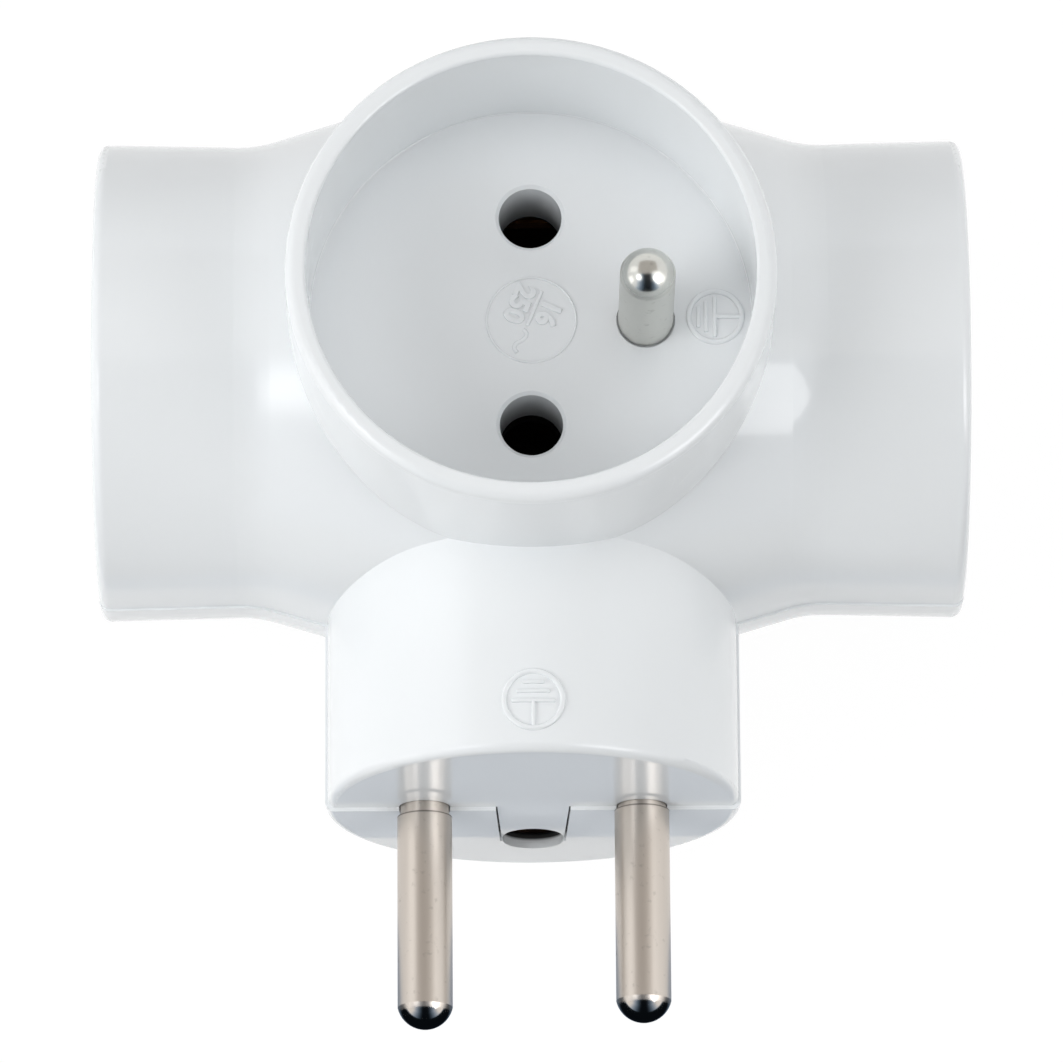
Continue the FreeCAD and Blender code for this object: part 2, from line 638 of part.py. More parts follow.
def rear_shell():
    """The rear half: half of each side cup and of the plug, the flat pad and the screw bosses."""
    step = "shell_step"
    barrel = turned("rear_barrel", free_sketch("rear_barrel_sketch", barrel_outline(step)), Vector(1, 0, 0), -180)
    plug = turned("rear_plug", free_sketch("rear_plug_sketch", plug_outline(step, "face_step")), Vector(0, 1, 0), 180)
    far = f"{SIDE_REACH} + {BEYOND}"
    below = block("rear_below_pad", (f"-({far})", f"-({far})", f"-({far})"), (far, far, "-axis_height"))
    envelope = cut("rear_envelope", fused("rear_block", barrel, plug), below)
    hollow = turned("rear_hollow", free_sketch("rear_hollow_sketch", hollow_outline()), Vector(1, 0, 0))
    floor = block(
        "rear_pad_floor",
        (f"-{RIB_START}", f"-({far})", f"-({far})"),
        (RIB_START, far, "case_wall - axis_height"),
    )
    hollow = cut("rear_hollow_above_pad", hollow, floor)
    cavity = rod("rear_cavity", PLUG_BORE, "0", BULKHEAD_BACK, along="y")
    skin = cut("rear_skin", envelope, fused("rear_voids", hollow, cavity))
    inner = common("rear_inner", fused("rear_inner_parts", *rear_inner()), envelope)
    tools = plug_cuts("rear")[1:]
    notch = bind(tongue("rear_notch", "tongue_gap", "1"), LengthFwd=f"face_wall + {BEYOND}")
    tools.append(place(notch, ("0", f"-{CHAMBER_FRONT}", "0")))
    slot_low = ("-earth_well_radius", f"-({BULKHEAD_FRONT} + 1)", "-earth_offset")
    tools.append(block("rear_contact_slot", slot_low, ("earth_well_radius", f"1 - {BULKHEAD_BACK}", "1")))
    deep = f"-(axis_height + {BEYOND})"
    for side, y in screw_positions():
        head = "screw_head_radius + head_clearance"
        tools.append(rod(f"rear_{side}_head_well", head, deep, "-screw_seat", ("0", y)))
        tools.append(rod(f"rear_{side}_hole", "screw_radius + screw_clearance", deep, "1", ("0", y)))
    shell = cut("rear_shell", fused("rear_solid", skin, inner), fused("rear_cuts", *tools))
    return place(shell, lifted(("0", "0", "0")))


# The three sockets: each is modelled with its floor at the origin, facing +Z

TO_RIGHT = ALONG_X
TO_LEFT = Rotation(Vector(0, 1, 0), -90).multiply(Rotation(Vector(0, 0, 1), 180))
SOCKETS = (
    ("front", ("0", "0", 1), FRONT_FLOOR, Rotation()),
    ("left", (-1, "0", "0"), SIDE_FLOOR, TO_LEFT),
    ("right", (1, "0", "0"), SIDE_FLOOR, TO_RIGHT),
)


def along(direction, distance):
    """A place at a distance from the crossing along a socket's axis."""
    return tuple(f"{sign} * ({distance})" if sign != "0" else "0" for sign in direction)


def socket_face(label, radius):
    """A socket floor: a round plate with the sleeves of its live holes and the seat of its earth pin."""
    piece = Piece(label)
    piece.pad(piece.sketch("XY_Plane", circles=[(("0", "0"), radius)]), "face_thickness", down=True)
    live = [("0", HALF_PITCH), ("0", f"-{HALF_PITCH}")]
    sleeve = "live_hole_radius + sleeve_wall"
    piece.pad(piece.sketch("XY_Plane", circles=[(at, sleeve) for at in live]), "sleeve_depth", down=True)
    piece.pocket(piece.sketch("XY_Plane", circles=[(at, "live_hole_radius") for at in live]), "sleeve_depth + 1")
    earth = ("earth_offset", "0")
    seat = "pin_radius + earth_seat_gap"
    piece.pocket(piece.sketch("XY_Plane", circles=[(earth, seat)]), "earth_seat_depth")
    piece.pocket(piece.sketch("XY_Plane", circles=[(earth, "stem_radius")]), "face_thickness + 1")
    last = piece.body.Tip
    hole = size_of("live_hole_radius")
    mouths = [
        f"Edge{index}"
        for index, edge in enumerate(last.Shape.Edges, start=1)
        if isinstance(edge.Curve, Part.Circle)
        and abs(edge.Curve.Radius - hole) < 1e-6
        and abs(edge.Curve.Center.z) < 1e-6
    ]
    chamfer = piece.body.newObject("PartDesign::Chamfer", piece.name("chamfer"))
    chamfer.Base = (last, mouths)
    bind(chamfer, Size="hole_chamfer")
    return piece


def earth_pin(label):
    """A turned earth pin, riveted through a socket face and the earth strip."""
    piece = Piece(label)
    end = "face_thickness + bar_thickness"
    path = [
        ("0", f"-({end} + rivet_head)"),
        ("rivet_head_radius", f"-({end} + rivet_head)"),
        ("rivet_head_radius", f"-({end})"),
        ("stem_radius", f"-({end})"),
        ("stem_radius", "-earth_seat_depth"),
        ("pin_neck_radius", "-earth_seat_depth"),
        ("pin_neck_radius", "earth_pin_stand"),
        ("pin_radius", "earth_pin_stand"),
        ("pin_radius", "earth_pin_length - dome_height"),
        Bow(DOME_RADIUS, "left"),
        ("0", "earth_pin_length"),
    ]
    piece.spin(piece.sketch("XZ_Plane", path))
    return piece


def contact(label, length):
    """A folded contact about the axis of its pin: a back that lies on the bar and two sprung cheeks."""
    piece = Piece(label)
    half = f"{length} / 2"
    waist = f"{length} / 5"
    back_top = f"{half} - grip_flare"
    outer = "grip_half + contact_thickness"
    back = rectangle((f"-({outer})", f"-({half})"), (outer, back_top))
    piece.pad(piece.sketch("XZ_Plane", back, lift="-bar_offset"), "contact_thickness")
    cheek = [
        ("grip_half + grip_root", f"-({half})"),
        (f"{outer} + grip_root", f"-({half})"),
        (outer, "0"),
        (outer, waist),
        (f"{outer} + grip_flare", half),
        ("grip_half + grip_flare", half),
        ("grip_half", waist),
        ("grip_half", "0"),
    ]
    depth = "bar_offset + contact_cheek"
    piece.pad(piece.sketch("XZ_Plane", cheek, mirrored(cheek), lift="-bar_offset"), depth)
    return piece


def sockets():
    """The faces, earth pins and contacts of the three sockets."""
    for name, direction, floor, turn in SOCKETS:
        radius = "recess_radius" if name == "front" else "recess_radius + groove_depth"
        yield socket_face(f"{name}_socket_face", f"{radius} - face_play").put(along(direction, floor), turn)
        pin_place = ("earth_offset", "0", FRONT_FLOOR)
        if name != "front":
            x, _, _ = along(direction, floor)
            pin_place = (x, "0", "-earth_offset")
        yield earth_pin(f"{name}_earth_pin").put(pin_place, turn)
        length = FRONT_CONTACT if name == "front" else SIDE_CONTACT
        middle = f"{floor} - {CONTACT_MOUTH} - {length} / 2"
        # The contact's back is towards +Y on the line bar and towards -Y on the neutral bar.
        outward = Rotation(Vector(0, 1, 0), {"front": 0, "left": -90, "right": 90}[name])
        for bar, y, spin in (("line", HALF_PITCH, 0), ("neutral", f"-{HALF_PITCH}", 180)):
            x, _, z = along(direction, middle)
            facing = outward.multiply(Rotation(Vector(0, 0, 1), spin))
            yield contact(f"{bar}_contact_{name}", length).put((x, y, z), facing)


# Bars, plug pins and carrier

def busbar(label, far_side, leg_side, slide):
    """A live bar: a plate behind the contacts, a foot in the carrier and a leg to its plug pin."""
    piece = Piece(label)
    riser_top = f"{FRONT_FLOOR} - {CONTACT_MOUTH}"
    foot_bottom = "-(carrier_top + bar_thickness)"
    plate = [
        (f"-{BAR_HALF_LENGTH}", "bar_half_height"),
        ("-riser_half_width", "bar_half_height"),
        ("-riser_half_width", riser_top),
        ("riser_half_width", riser_top),
        ("riser_half_width", "bar_half_height"),
        (BAR_HALF_LENGTH, "bar_half_height"),
        (BAR_HALF_LENGTH, "-bar_half_height"),
        (f"-({FOOT_X} - foot_width / 2)", "-bar_half_height"),
        (f"-({FOOT_X} - foot_width / 2)", foot_bottom),
        (f"-({FOOT_X} + foot_width / 2)", foot_bottom),
        (f"-({FOOT_X} + foot_width / 2)", "-bar_half_height"),
        (f"-{BAR_HALF_LENGTH}", "-bar_half_height"),
    ]
    if leg_side < 0:
        plate = mirrored(plate)
    middle = f"{far_side} * {BAR_MIDDLE}"
    piece.pad(piece.sketch("XZ_Plane", plate, lift=f"-({middle} + bar_thickness / 2)"), "bar_thickness")
    leg_height = "-(carrier_top - bar_thickness / 2)"
    tab = f"bar_thickness / 2 - {PIN_SHOULDER} - {slide}"
    leg = bent_strip([(middle, "0"), (middle, leg_height), (tab, leg_height), (tab, "tab_top")], "bar_thickness")
    leg_start = f"{leg_side} * {HALF_PITCH} - leg_width / 2"
    piece.pad(piece.sketch("YZ_Plane", leg, lift=leg_start), "leg_width")
    hole = [((f"{leg_side} * {HALF_PITCH}", "0"), "rivet_radius")]
    piece.pocket(piece.sketch("XZ_Plane", circles=hole, lift=f"1 - ({tab})"), "2")
    return piece


def plug_pin(label):
    """A turned plug pin about +Z, with the outer end of its neck at the origin."""
    piece = Piece(label)
    collar_front = "face_wall + pin_play + pin_stand"
    collar_back = f"{collar_front} + collar_length"
    shoulder = "pin_inside + pin_stand"
    tail = f"{shoulder} + bar_thickness"
    path = [
        ("0", f"-({tail} + rivet_head)"),
        ("rivet_head_radius", f"-({tail} + rivet_head)"),
        ("rivet_head_radius", f"-({tail})"),
        ("rivet_radius", f"-({tail})"),
        ("rivet_radius", f"-({shoulder})"),
        ("pin_radius", f"-({shoulder})"),
        ("pin_radius", f"-({collar_back})"),
        ("collar_radius", f"-({collar_back})"),
        ("collar_radius", f"-({collar_front})"),
        ("pin_radius", f"-({collar_front})"),
        ("pin_radius", "-neck_length"),
        ("pin_neck_radius", "-neck_length"),
        ("pin_neck_radius", "0"),
        ("pin_radius", "0"),
        ("pin_radius", "plug_pin_length - dome_height"),
        Bow(DOME_RADIUS, "left"),
        ("0", "plug_pin_length"),
    ]
    piece.spin(piece.sketch("XZ_Plane", path))
    return piece


def earth_strip():
    """The earth bar: a cross on the floor of the case, with an upright to the front earth pin."""
    piece = Piece("earth_strip")
    level = f"-(strip_depth + bar_thickness / 2)"
    arm_end = f"({SIDE_FACE_BACK} - bar_thickness / 2)"
    arm_top = "strip_tab - earth_offset"
    arms = bent_strip(
        [(f"-{arm_end}", arm_top), (f"-{arm_end}", level), (arm_end, level), (arm_end, arm_top)],
        "bar_thickness",
    )
    width = "2 * strip_half_width"
    piece.pad(piece.sketch("XZ_Plane", arms, lift="-strip_half_width"), width)
    tab_level = f"{FRONT_FACE_BACK} - bar_thickness / 2"
    rise_x = f"{CARRIER_END} + strip_gap + bar_thickness / 2"
    rise = bent_strip(
        [(rise_x, level), (rise_x, tab_level), ("earth_offset - strip_tab", tab_level)],
        "bar_thickness",
    )
    piece.pad(piece.sketch("XZ_Plane", rise, lift="-strip_half_width"), width)
    leg = rectangle(("-strip_half_width", f"-{STRIP_END}"), ("strip_half_width", "0"))
    piece.pad(piece.sketch("XY_Plane", leg, lift=f"-{STRIP_BOTTOM}"), "bar_thickness")
    boss = ("0", f"-{SCREW_Y}")
    eyelet = [(boss, f"{EYELET_RADIUS} + eyelet_margin")]
    piece.pad(piece.sketch("XY_Plane", circles=eyelet, lift=f"-{STRIP_BOTTOM}"), "bar_thickness")
    hole = piece.sketch("XY_Plane", circles=[(boss, EYELET_RADIUS)], lift="1 - strip_depth")
    piece.pocket(hole, "bar_thickness + 2")
    tab_hole = piece.sketch("XY_Plane", circles=[(("earth_offset", "0"), "stem_radius")], lift=FRONT_FLOOR)
    piece.pocket(tab_hole, "face_thickness + bar_thickness + 1")
    for side in (-1, 1):
        start = f"{side} * ({SIDE_FACE_BACK} + 1)"
        side_hole = piece.sketch("YZ_Plane", circles=[(("0", "-earth_offset"), "stem_radius")], lift=start)
        piece.pocket(side_hole, "bar_thickness + 2", down=side > 0)
    return piece


def plug_earth_contact():
    """The rolled sleeve behind the plug's earth hole, with a foot on the earth strip."""
    piece = Piece("plug_earth_contact")
    outer = "sleeve_inner_radius + sleeve_sheet"
    length = f"{SLEEVE_MOUTH} - {SLEEVE_ROOT}"
    ring = piece.sketch("XZ_Plane", circles=[(("0", "-earth_offset"), outer)], lift=SLEEVE_ROOT)
    piece.pad(ring, length)
    foot = rectangle(("-strip_half_width", "-strip_depth"), ("strip_half_width", "sleeve_sheet - strip_depth"))
    piece.pad(piece.sketch("XZ_Plane", foot, lift=SLEEVE_ROOT), f"{STRIP_END} - {SLEEVE_ROOT}")
    bore = [(("0", "-earth_offset"), "sleeve_inner_radius")]
    piece.pocket(piece.sketch("XZ_Plane", circles=bore, lift=f"{SLEEVE_MOUTH} + 1"), f"{length} + 2")
    slit = rectangle(("-sleeve_slit / 2", "-earth_offset"), ("sleeve_slit / 2", f"{outer} + 1 - earth_offset"))
    piece.pocket(piece.sketch("XZ_Plane", slit, lift=f"{SLEEVE_MOUTH} + 1"), f"{length} + 2")
    return piece


def contact_carrier():
    """The moulded insulator: a floor under the live bars and two barriers between them."""
    piece = Piece("contact_carrier")
    length = CARRIER_END
    width = f"({BAR_MIDDLE} + carrier_side)"
    corner = "carrier_corner"
    half = [
        (length, f"-({width} - {corner})"),
        (length, f"{width} - {corner}"),
        Bow(corner, "left"),
        (f"{length} - {corner}", width),
    ]
    floor_path = [(f"{length} - {corner}", f"-{width}"), Bow(corner, "left")] + half
    floor_path += [
        (f"-({length} - {corner})", width),
        Bow(corner, "left"),
        (f"-{length}", f"{width} - {corner}"),
        (f"-{length}", f"-({width} - {corner})"),
        Bow(corner, "left"),
        (f"-({length} - {corner})", f"-{width}"),
    ]
    piece.pad(piece.sketch("XY_Plane", floor_path, lift="-(carrier_top + carrier_floor)"), "carrier_floor")
    inner, outer = "barrier_inner", "barrier_inner + barrier_wall"
    end = f"({length} - barrier_inset)"
    walls = [
        rectangle((f"-{end}", inner), (end, outer)),
        rectangle((f"-{end}", f"-({outer})"), (end, f"-{inner}")),
    ]
    height = f"{FRONT_FACE_BACK} + carrier_top"
    piece.pad(piece.sketch("XY_Plane", *walls, lift="-carrier_top"), height)
    gate_half = "leg_width / 2 + slot_gap"
    gate = rectangle(
        (f"{HALF_PITCH} - ({gate_half})", "-carrier_top"),
        (f"{HALF_PITCH} + {gate_half}", "bar_thickness + slot_gap - carrier_top"),
    )
    piece.pocket(piece.sketch("XZ_Plane", gate, lift=f"{outer} + 1"), f"2 * ({outer}) + 2")
    feet = []
    for far_side, leg_side in ((1, 1), (-1, -1)):
        reach = "(foot_width / 2 + slot_gap)"
        xs = [f"{-leg_side} * {FOOT_X} + {sign} * {reach}" for sign in (-1, 1)]
        ys = [f"{far_side} * {BAR_MIDDLE} + {sign} * (bar_thickness / 2 + slot_gap)" for sign in (-1, 1)]
        feet.append(rectangle((xs[0], ys[0]), (xs[1], ys[1])))
    piece.pocket(piece.sketch("XY_Plane", *feet, lift="-carrier_top"), "bar_thickness")
    return piece


def screw(label):
    """A pan-head screw about +Z, with the underside of its head at the origin."""
    piece = Piece(label)
    path = [
        ("0", "-screw_head"),
        ("screw_head_radius - head_round", "-screw_head"),
        Bow("head_round", "left"),
        ("screw_head_radius", "head_round - screw_head"),
        ("screw_head_radius", "0"),
        ("screw_radius", "0"),
        ("screw_radius", "screw_length - screw_radius"),
        ("screw_radius / 3", "screw_length"),
        ("0", "screw_length"),
    ]
    piece.spin(piece.sketch("XZ_Plane", path))
    arm, half = "drive_length / 2", "drive_width / 2"
    cross = [
        (arm, f"-{half}"), (arm, half), (half, half), (half, arm), (f"-{half}", arm), (f"-{half}", half),
        (f"-{arm}", half), (f"-{arm}", f"-{half}"), (f"-{half}", f"-{half}"), (f"-{half}", f"-{arm}"),
        (half, f"-{arm}"), (half, f"-{half}"),
    ]
    piece.pocket(piece.sketch("XY_Plane", cross, lift="-screw_head"), "drive_depth", down=False)
    return piece


# Assembly

CROSSING = ("0", "0", "0")
pieces = [front_shell(), rear_shell()]
for shell, label in zip(pieces, ("front_shell", "rear_shell")):
    shell.Label = label
pieces += list(sockets())
pieces.append(busbar("line_busbar", 1, 1, "0").put(CROSSING))
pieces.append(busbar("neutral_busbar", -1, -1, "pin_play").put(CROSSING))
for label, x, slide in (("right_plug_pin", HALF_PITCH, "0"), ("left_plug_pin", f"-{HALF_PITCH}", "pin_play")):
    neck_end = f"-({PLUG_REACH} + pin_stand + {slide})"
    pieces.append(plug_pin(label).put((x, neck_end, "0"), ALONG_MINUS_Y))
pieces.append(earth_strip().put(CROSSING))
pieces.append(plug_earth_contact().put(CROSSING))
pieces.append(contact_carrier().put(CROSSING))
for side, y in screw_positions():
    pieces.append(screw(f"{side}_screw").put(("0", y, "-screw_seat")))
doc.recompute()

for item in doc.Objects:
    if "Invalid" in item.State or "Error" in item.State:
        raise RuntimeError(f"{item.Label} failed: {item.State}")
for piece in pieces:
    if piece.Shape.isNull() or not piece.Shape.isValid() or len(piece.Shape.Solids) != 1:
        raise RuntimeError(f"{piece.Label} isn't one valid solid")
os.makedirs("parts", exist_ok=True)
for piece in pieces:
    piece.Shape.exportStep(f"parts/{piece.Label}.step")
    print(f"{piece.Label}: {piece.Shape.Volume:.1f} mm3")
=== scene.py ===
"""A white three-way socket adapter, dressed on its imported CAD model."""

import logging
import math
from dataclasses import dataclass, field
from enum import Enum

import bmesh
import bpy
from mathutils import Euler, Matrix, Vector


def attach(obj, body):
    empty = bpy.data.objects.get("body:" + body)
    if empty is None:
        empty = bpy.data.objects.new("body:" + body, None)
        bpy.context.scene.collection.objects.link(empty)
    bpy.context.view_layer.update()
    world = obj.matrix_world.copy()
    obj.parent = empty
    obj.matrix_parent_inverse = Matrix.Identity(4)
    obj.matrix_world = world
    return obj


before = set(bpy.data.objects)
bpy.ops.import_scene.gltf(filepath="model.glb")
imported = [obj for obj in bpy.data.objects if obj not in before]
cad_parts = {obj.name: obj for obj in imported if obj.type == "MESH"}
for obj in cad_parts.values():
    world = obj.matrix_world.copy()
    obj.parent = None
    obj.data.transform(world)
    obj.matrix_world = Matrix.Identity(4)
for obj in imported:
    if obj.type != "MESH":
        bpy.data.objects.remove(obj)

log = logging.getLogger("adapter")

MM = 0.001
LAMP_AIM = Vector((0.0, 0.0, 0.03))
AXIS_HEIGHT = 23.5 * MM
FRONT_FLOOR = 40.0 * MM
SIDE_FLOOR = 23.6 * MM
LIVE_OFFSET = 9.5 * MM
EARTH_OFFSET = 10.0 * MM
EARTH_HOLE_RADIUS = 3.3 * MM
SLEEVE_RADIUS = 3.0 * MM
CARRIER_RADIUS = 6.2 * MM
POLISHED_PLUG_END = -38.6 * MM
LIP_ROUND = 0.352 * MM
LIP_RADIUS = 19.65 * MM
FRONT_LIP = 54.147 * MM
SIDE_LIP = 37.747 * MM

Colour = tuple[float, float, float]


class Along(Enum):
    """Direction of a turned piece, as the turn that brings its axis to +Z."""

    UP = (0.0, 0.0, 0.0)
    LEFT = (0.0, math.pi / 2, 0.0)
    RIGHT = (0.0, -math.pi / 2, 0.0)
    FORWARD = (-math.pi / 2, 0.0, 0.0)


class Board:
    """A node tree that is being wired."""

    def __init__(self, tree: bpy.types.NodeTree) -> None:
        """Takes the tree to wire.

        Args:
            tree: The tree of a material, a world or a node group.
        """
        self.tree = tree

    def add(self, kind: str, label: str = "", **settings: object) -> bpy.types.Node:
        """Adds a node and sets its properties.

        Args:
            kind: Blender's name of the node type, without its leading part.
            label: What the node is for.
            **settings: Properties of the node.

        Returns:
            The new node.
        """
        node = self.tree.nodes.new(kind if "Group" in kind else f"ShaderNode{kind}")
        node.label = label
        for name, value in settings.items():
            setattr(node, name, value)
        return node

    def feed(self, node: bpy.types.Node, **values: object) -> bpy.types.Node:
        """Fills a node's inputs with values or with the outputs of other nodes.

        Args:
            node: The node to fill.
            **values: An input's name, with its spaces as underscores, or "at" and its number.

        Returns:
            The same node.
        """
        for name, value in values.items():
            socket = node.inputs[int(name[2:])] if name[:2] == "at" and name[2:].isdigit() else None
            if socket is None:
                socket = node.inputs[name.replace("_", " ")]
            if isinstance(value, bpy.types.NodeSocket):
                self.tree.links.new(value, socket)
            else:
                socket.default_value = value
        return node

    def maths(self, operation: str, first: object, second: object = 0.0) -> bpy.types.NodeSocket:
        """Adds a maths node.

        Args:
            operation: What it does with the two numbers.
            first: A number or an output.
            second: A number or an output.

        Returns:
            Its output.
        """
        node = self.add("Math", operation=operation)
        return self.feed(node, at0=first, at1=second).outputs[0]

    def ramp(
        self,
        value: bpy.types.NodeSocket,
        start: tuple[float, float],
        end: tuple[float, float] = (0.0, 1.0),
        label: str = "",
        smooth: bool = False,
    ) -> bpy.types.NodeSocket:
        """Brings a value from one span of numbers to another and stops at its ends.

        Args:
            value: The value.
            start: The span that it comes from.
            end: The span that it goes to.
            label: What the node is for.
            smooth: Whether it eases in and out.

        Returns:
            The new value.
        """
        node = self.add("MapRange", label, interpolation_type="SMOOTHSTEP" if smooth else "LINEAR")
        self.feed(node, Value=value, From_Min=start[0], From_Max=start[1], To_Min=end[0], To_Max=end[1])
        return node.outputs[0]

    def span(self, value: bpy.types.NodeSocket, low: float, high: float) -> bpy.types.NodeSocket:
        """Brings a mask from the span of 0 to 1 to another span.

        Args:
            value: The mask.
            low: What 0 becomes.
            high: What 1 becomes.

        Returns:
            The new value.
        """
        return self.ramp(value, (0.0, 1.0), (low, high))

    def stretch(self, where: bpy.types.NodeSocket, share: tuple[float, float, float]) -> bpy.types.NodeSocket:
        """Multiplies coordinates by a share for each direction.

        Args:
            where: The coordinates.
            share: What each of them is multiplied by.

        Returns:
            The new coordinates.
        """
        node = self.add("VectorMath", operation="MULTIPLY")
        return self.feed(node, at0=where, at1=share).outputs[0]

    def group(self, tree: bpy.types.NodeTree, **values: object) -> bpy.types.Node:
        """Adds a shared group and fills its inputs.

        Args:
            tree: The group's tree.
            **values: Its inputs, as for feed.

        Returns:
            The group's node.
        """
        return self.feed(self.add("ShaderNodeGroup", tree.name, node_tree=tree), **values)

    def radius(self, first: object, second: object) -> bpy.types.NodeSocket:
        """Gives the length of a pair of numbers.

        Args:
            first: A number or an output.
            second: A number or an output.

        Returns:
            The length.
        """
        squares = (self.maths("MULTIPLY", side, side) for side in (first, second))
        return self.maths("SQRT", self.maths("ADD", *squares))

    def noise(self, where: bpy.types.NodeSocket, scale: object, detail: float) -> bpy.types.NodeSocket:
        """Adds a noise texture.

        Args:
            where: The coordinates.
            scale: Its scale per metre.
            detail: How many finer layers it has.

        Returns:
            Its value, about 0.5 in the middle.
        """
        node = self.add("TexNoise")
        return self.feed(node, Vector=where, Scale=scale, Detail=detail).outputs[0]


def open_group(
    name: str, inputs: dict[str, float], outputs: tuple[str, ...]
) -> tuple[Board, bpy.types.Node, bpy.types.Node]:
    """Makes an empty shader node group.

    Args:
        name: The group's name.
        inputs: Its number inputs with their usual values; a vector input comes before them.
        outputs: The names of its number outputs.

    Returns:
        The board of the group, its input node and its output node.
    """
    tree = bpy.data.node_groups.new(name, "ShaderNodeTree")
    tree.interface.new_socket("Vector", in_out="INPUT", socket_type="NodeSocketVector")
    for word, value in inputs.items():
        socket = tree.interface.new_socket(word, in_out="INPUT", socket_type="NodeSocketFloat")
        socket.default_value = value
    for word in outputs:
        tree.interface.new_socket(word, in_out="OUTPUT", socket_type="NodeSocketFloat")
    board = Board(tree)
    return board, board.add("NodeGroupInput"), board.add("NodeGroupOutput")


class Patterns:
    """The node groups that the finishes share."""

    def __init__(self) -> None:
        """Builds every group once."""
        self.moulding = self.make_moulding()
        self.handling = self.make_handling()
        self.turning = self.make_turning()
        self.rolling = self.make_rolling()
        self.live_hole_shade = self.make_live_hole()
        self.earth_hole_shade = self.make_earth_hole()

    def make_live_hole(self) -> bpy.types.NodeTree:
        """Makes the group of painted shade that darkens what lies round and behind the live holes with its
        depth.

        The photograph shows them darker than the lamps alone make them, and the lower one of the
        front face darker still, so there the dark begins sooner.

        Returns:
            The group, with the output Light.
        """
        wall_depths, wall_light = (1.5 * MM, 7.0 * MM), 0.45
        end_depths, inner_light = (7.4 * MM, 7.6 * MM), 0.03
        sooner = 1.6 * MM
        board, start, end = open_group("live hole", {"Radius": SLEEVE_RADIUS}, ("Light",))
        parts = board.feed(board.add("SeparateXYZ"), Vector=start.outputs["Vector"])
        x, y, z = (parts.outputs[axis] for axis in "XYZ")
        beside = board.maths("SUBTRACT", board.maths("ABSOLUTE", y), LIVE_OFFSET)
        above = board.maths("SUBTRACT", z, AXIS_HEIGHT)
        depths = []
        for across, depth in (
            (x, board.maths("SUBTRACT", FRONT_FLOOR, z)),
            (above, board.maths("SUBTRACT", SIDE_FLOOR, board.maths("ABSOLUTE", x))),
        ):
            inside = board.maths("LESS_THAN", board.radius(across, beside), start.outputs["Radius"])
            depths.append(board.maths("MULTIPLY", inside, depth))
        is_front = board.maths("GREATER_THAN", above, 0.0)
        low = board.maths("MULTIPLY", board.maths("LESS_THAN", y, 0.0), is_front)
        front = board.maths("ADD", depths[0], board.maths("MULTIPLY", low, sooner))
        front = board.maths("MULTIPLY", front, board.maths("GREATER_THAN", depths[0], 0.0))
        depth = board.maths("MAXIMUM", front, depths[1])
        # Painted shade: the colour darkens with depth down the sleeve and turns almost black past its end.
        wall = board.ramp(depth, wall_depths, (1.0, wall_light))
        sleeve_end = board.ramp(depth, end_depths, (1.0, inner_light))
        board.feed(end, Light=board.maths("MULTIPLY", wall, sleeve_end))
        return board.tree

    def make_earth_hole(self) -> bpy.types.NodeTree:
        """Makes the group of painted shade that darkens the plug's earth hole behind its lip.

        Returns:
            The group, with the output Light.
        """
        lip_end, darkest, plug_start = (-38.98 * MM, -38.72 * MM), 0.95, -30.0 * MM
        board, start, end = open_group("earth hole", {"Radius": EARTH_HOLE_RADIUS}, ("Light",))
        parts = board.feed(board.add("SeparateXYZ"), Vector=start.outputs["Vector"])
        above = board.maths("SUBTRACT", parts.outputs["Z"], AXIS_HEIGHT - EARTH_OFFSET)
        inside = board.maths("LESS_THAN", board.radius(parts.outputs["X"], above), start.outputs["Radius"])
        inside = board.maths("MULTIPLY", inside, board.maths("LESS_THAN", parts.outputs["Y"], plug_start))
        # Painted shade: darkest just past the lip, inside the hole.
        behind = board.ramp(parts.outputs["Y"], lip_end, (0.0, darkest))
        board.feed(end, Light=board.maths("SUBTRACT", 1.0, board.maths("MULTIPLY", inside, behind)))
        return board.tree

    def make_moulding(self) -> bpy.types.NodeTree:
        """Makes the group of a moulded surface: slow waves of shrinkage and a fine grain.

        Returns:
            The group, with the outputs Mottle and Height.
        """
        inputs = {"Wave": 90.0, "Grain": 2600.0}
        board, start, end = open_group("moulded surface", inputs, ("Mottle", "Height"))
        where = start.outputs["Vector"]
        wave = board.noise(where, start.outputs["Wave"], 2.0)
        grain = board.noise(where, start.outputs["Grain"], 3.0)
        height = board.maths("ADD", wave, board.maths("MULTIPLY", grain, 0.12))
        mottle = board.maths("ADD", board.maths("MULTIPLY", wave, 0.7), board.maths("MULTIPLY", grain, 0.3))
        board.feed(end, Mottle=mottle, Height=height)
        return board.tree

    def make_handling(self) -> bpy.types.NodeTree:
        """Makes the group of handling marks: sparse hairlines and faint smudges.

        Returns:
            The group, with the outputs Hairline and Smudge.
        """
        board, start, end = open_group("handling marks", {"Size": 260.0}, ("Hairline", "Smudge"))
        where = start.outputs["Vector"]
        bend = board.noise(where, 120.0, 1.0)
        pull = board.stretch(where, (1.0, 0.09, 0.35))
        shift = board.add("VectorMath", operation="ADD")
        offset = board.add("CombineXYZ")
        board.feed(offset, X=board.maths("MULTIPLY", bend, 0.004))
        board.feed(shift, at0=pull, at1=offset.outputs[0])
        cells = board.add("TexVoronoi", feature="DISTANCE_TO_EDGE")
        board.feed(cells, Vector=shift.outputs[0], Scale=start.outputs["Size"])
        line = board.ramp(cells.outputs["Distance"], (0.0, 0.03), (1.0, 0.0))
        patch = board.ramp(board.noise(where, 210.0, 2.0), (0.55, 0.72))
        smudge = board.ramp(board.noise(where, 75.0, 4.0), (0.42, 0.68), smooth=True)
        board.feed(end, Hairline=board.maths("MULTIPLY", line, patch), Smudge=smudge)
        return board.tree

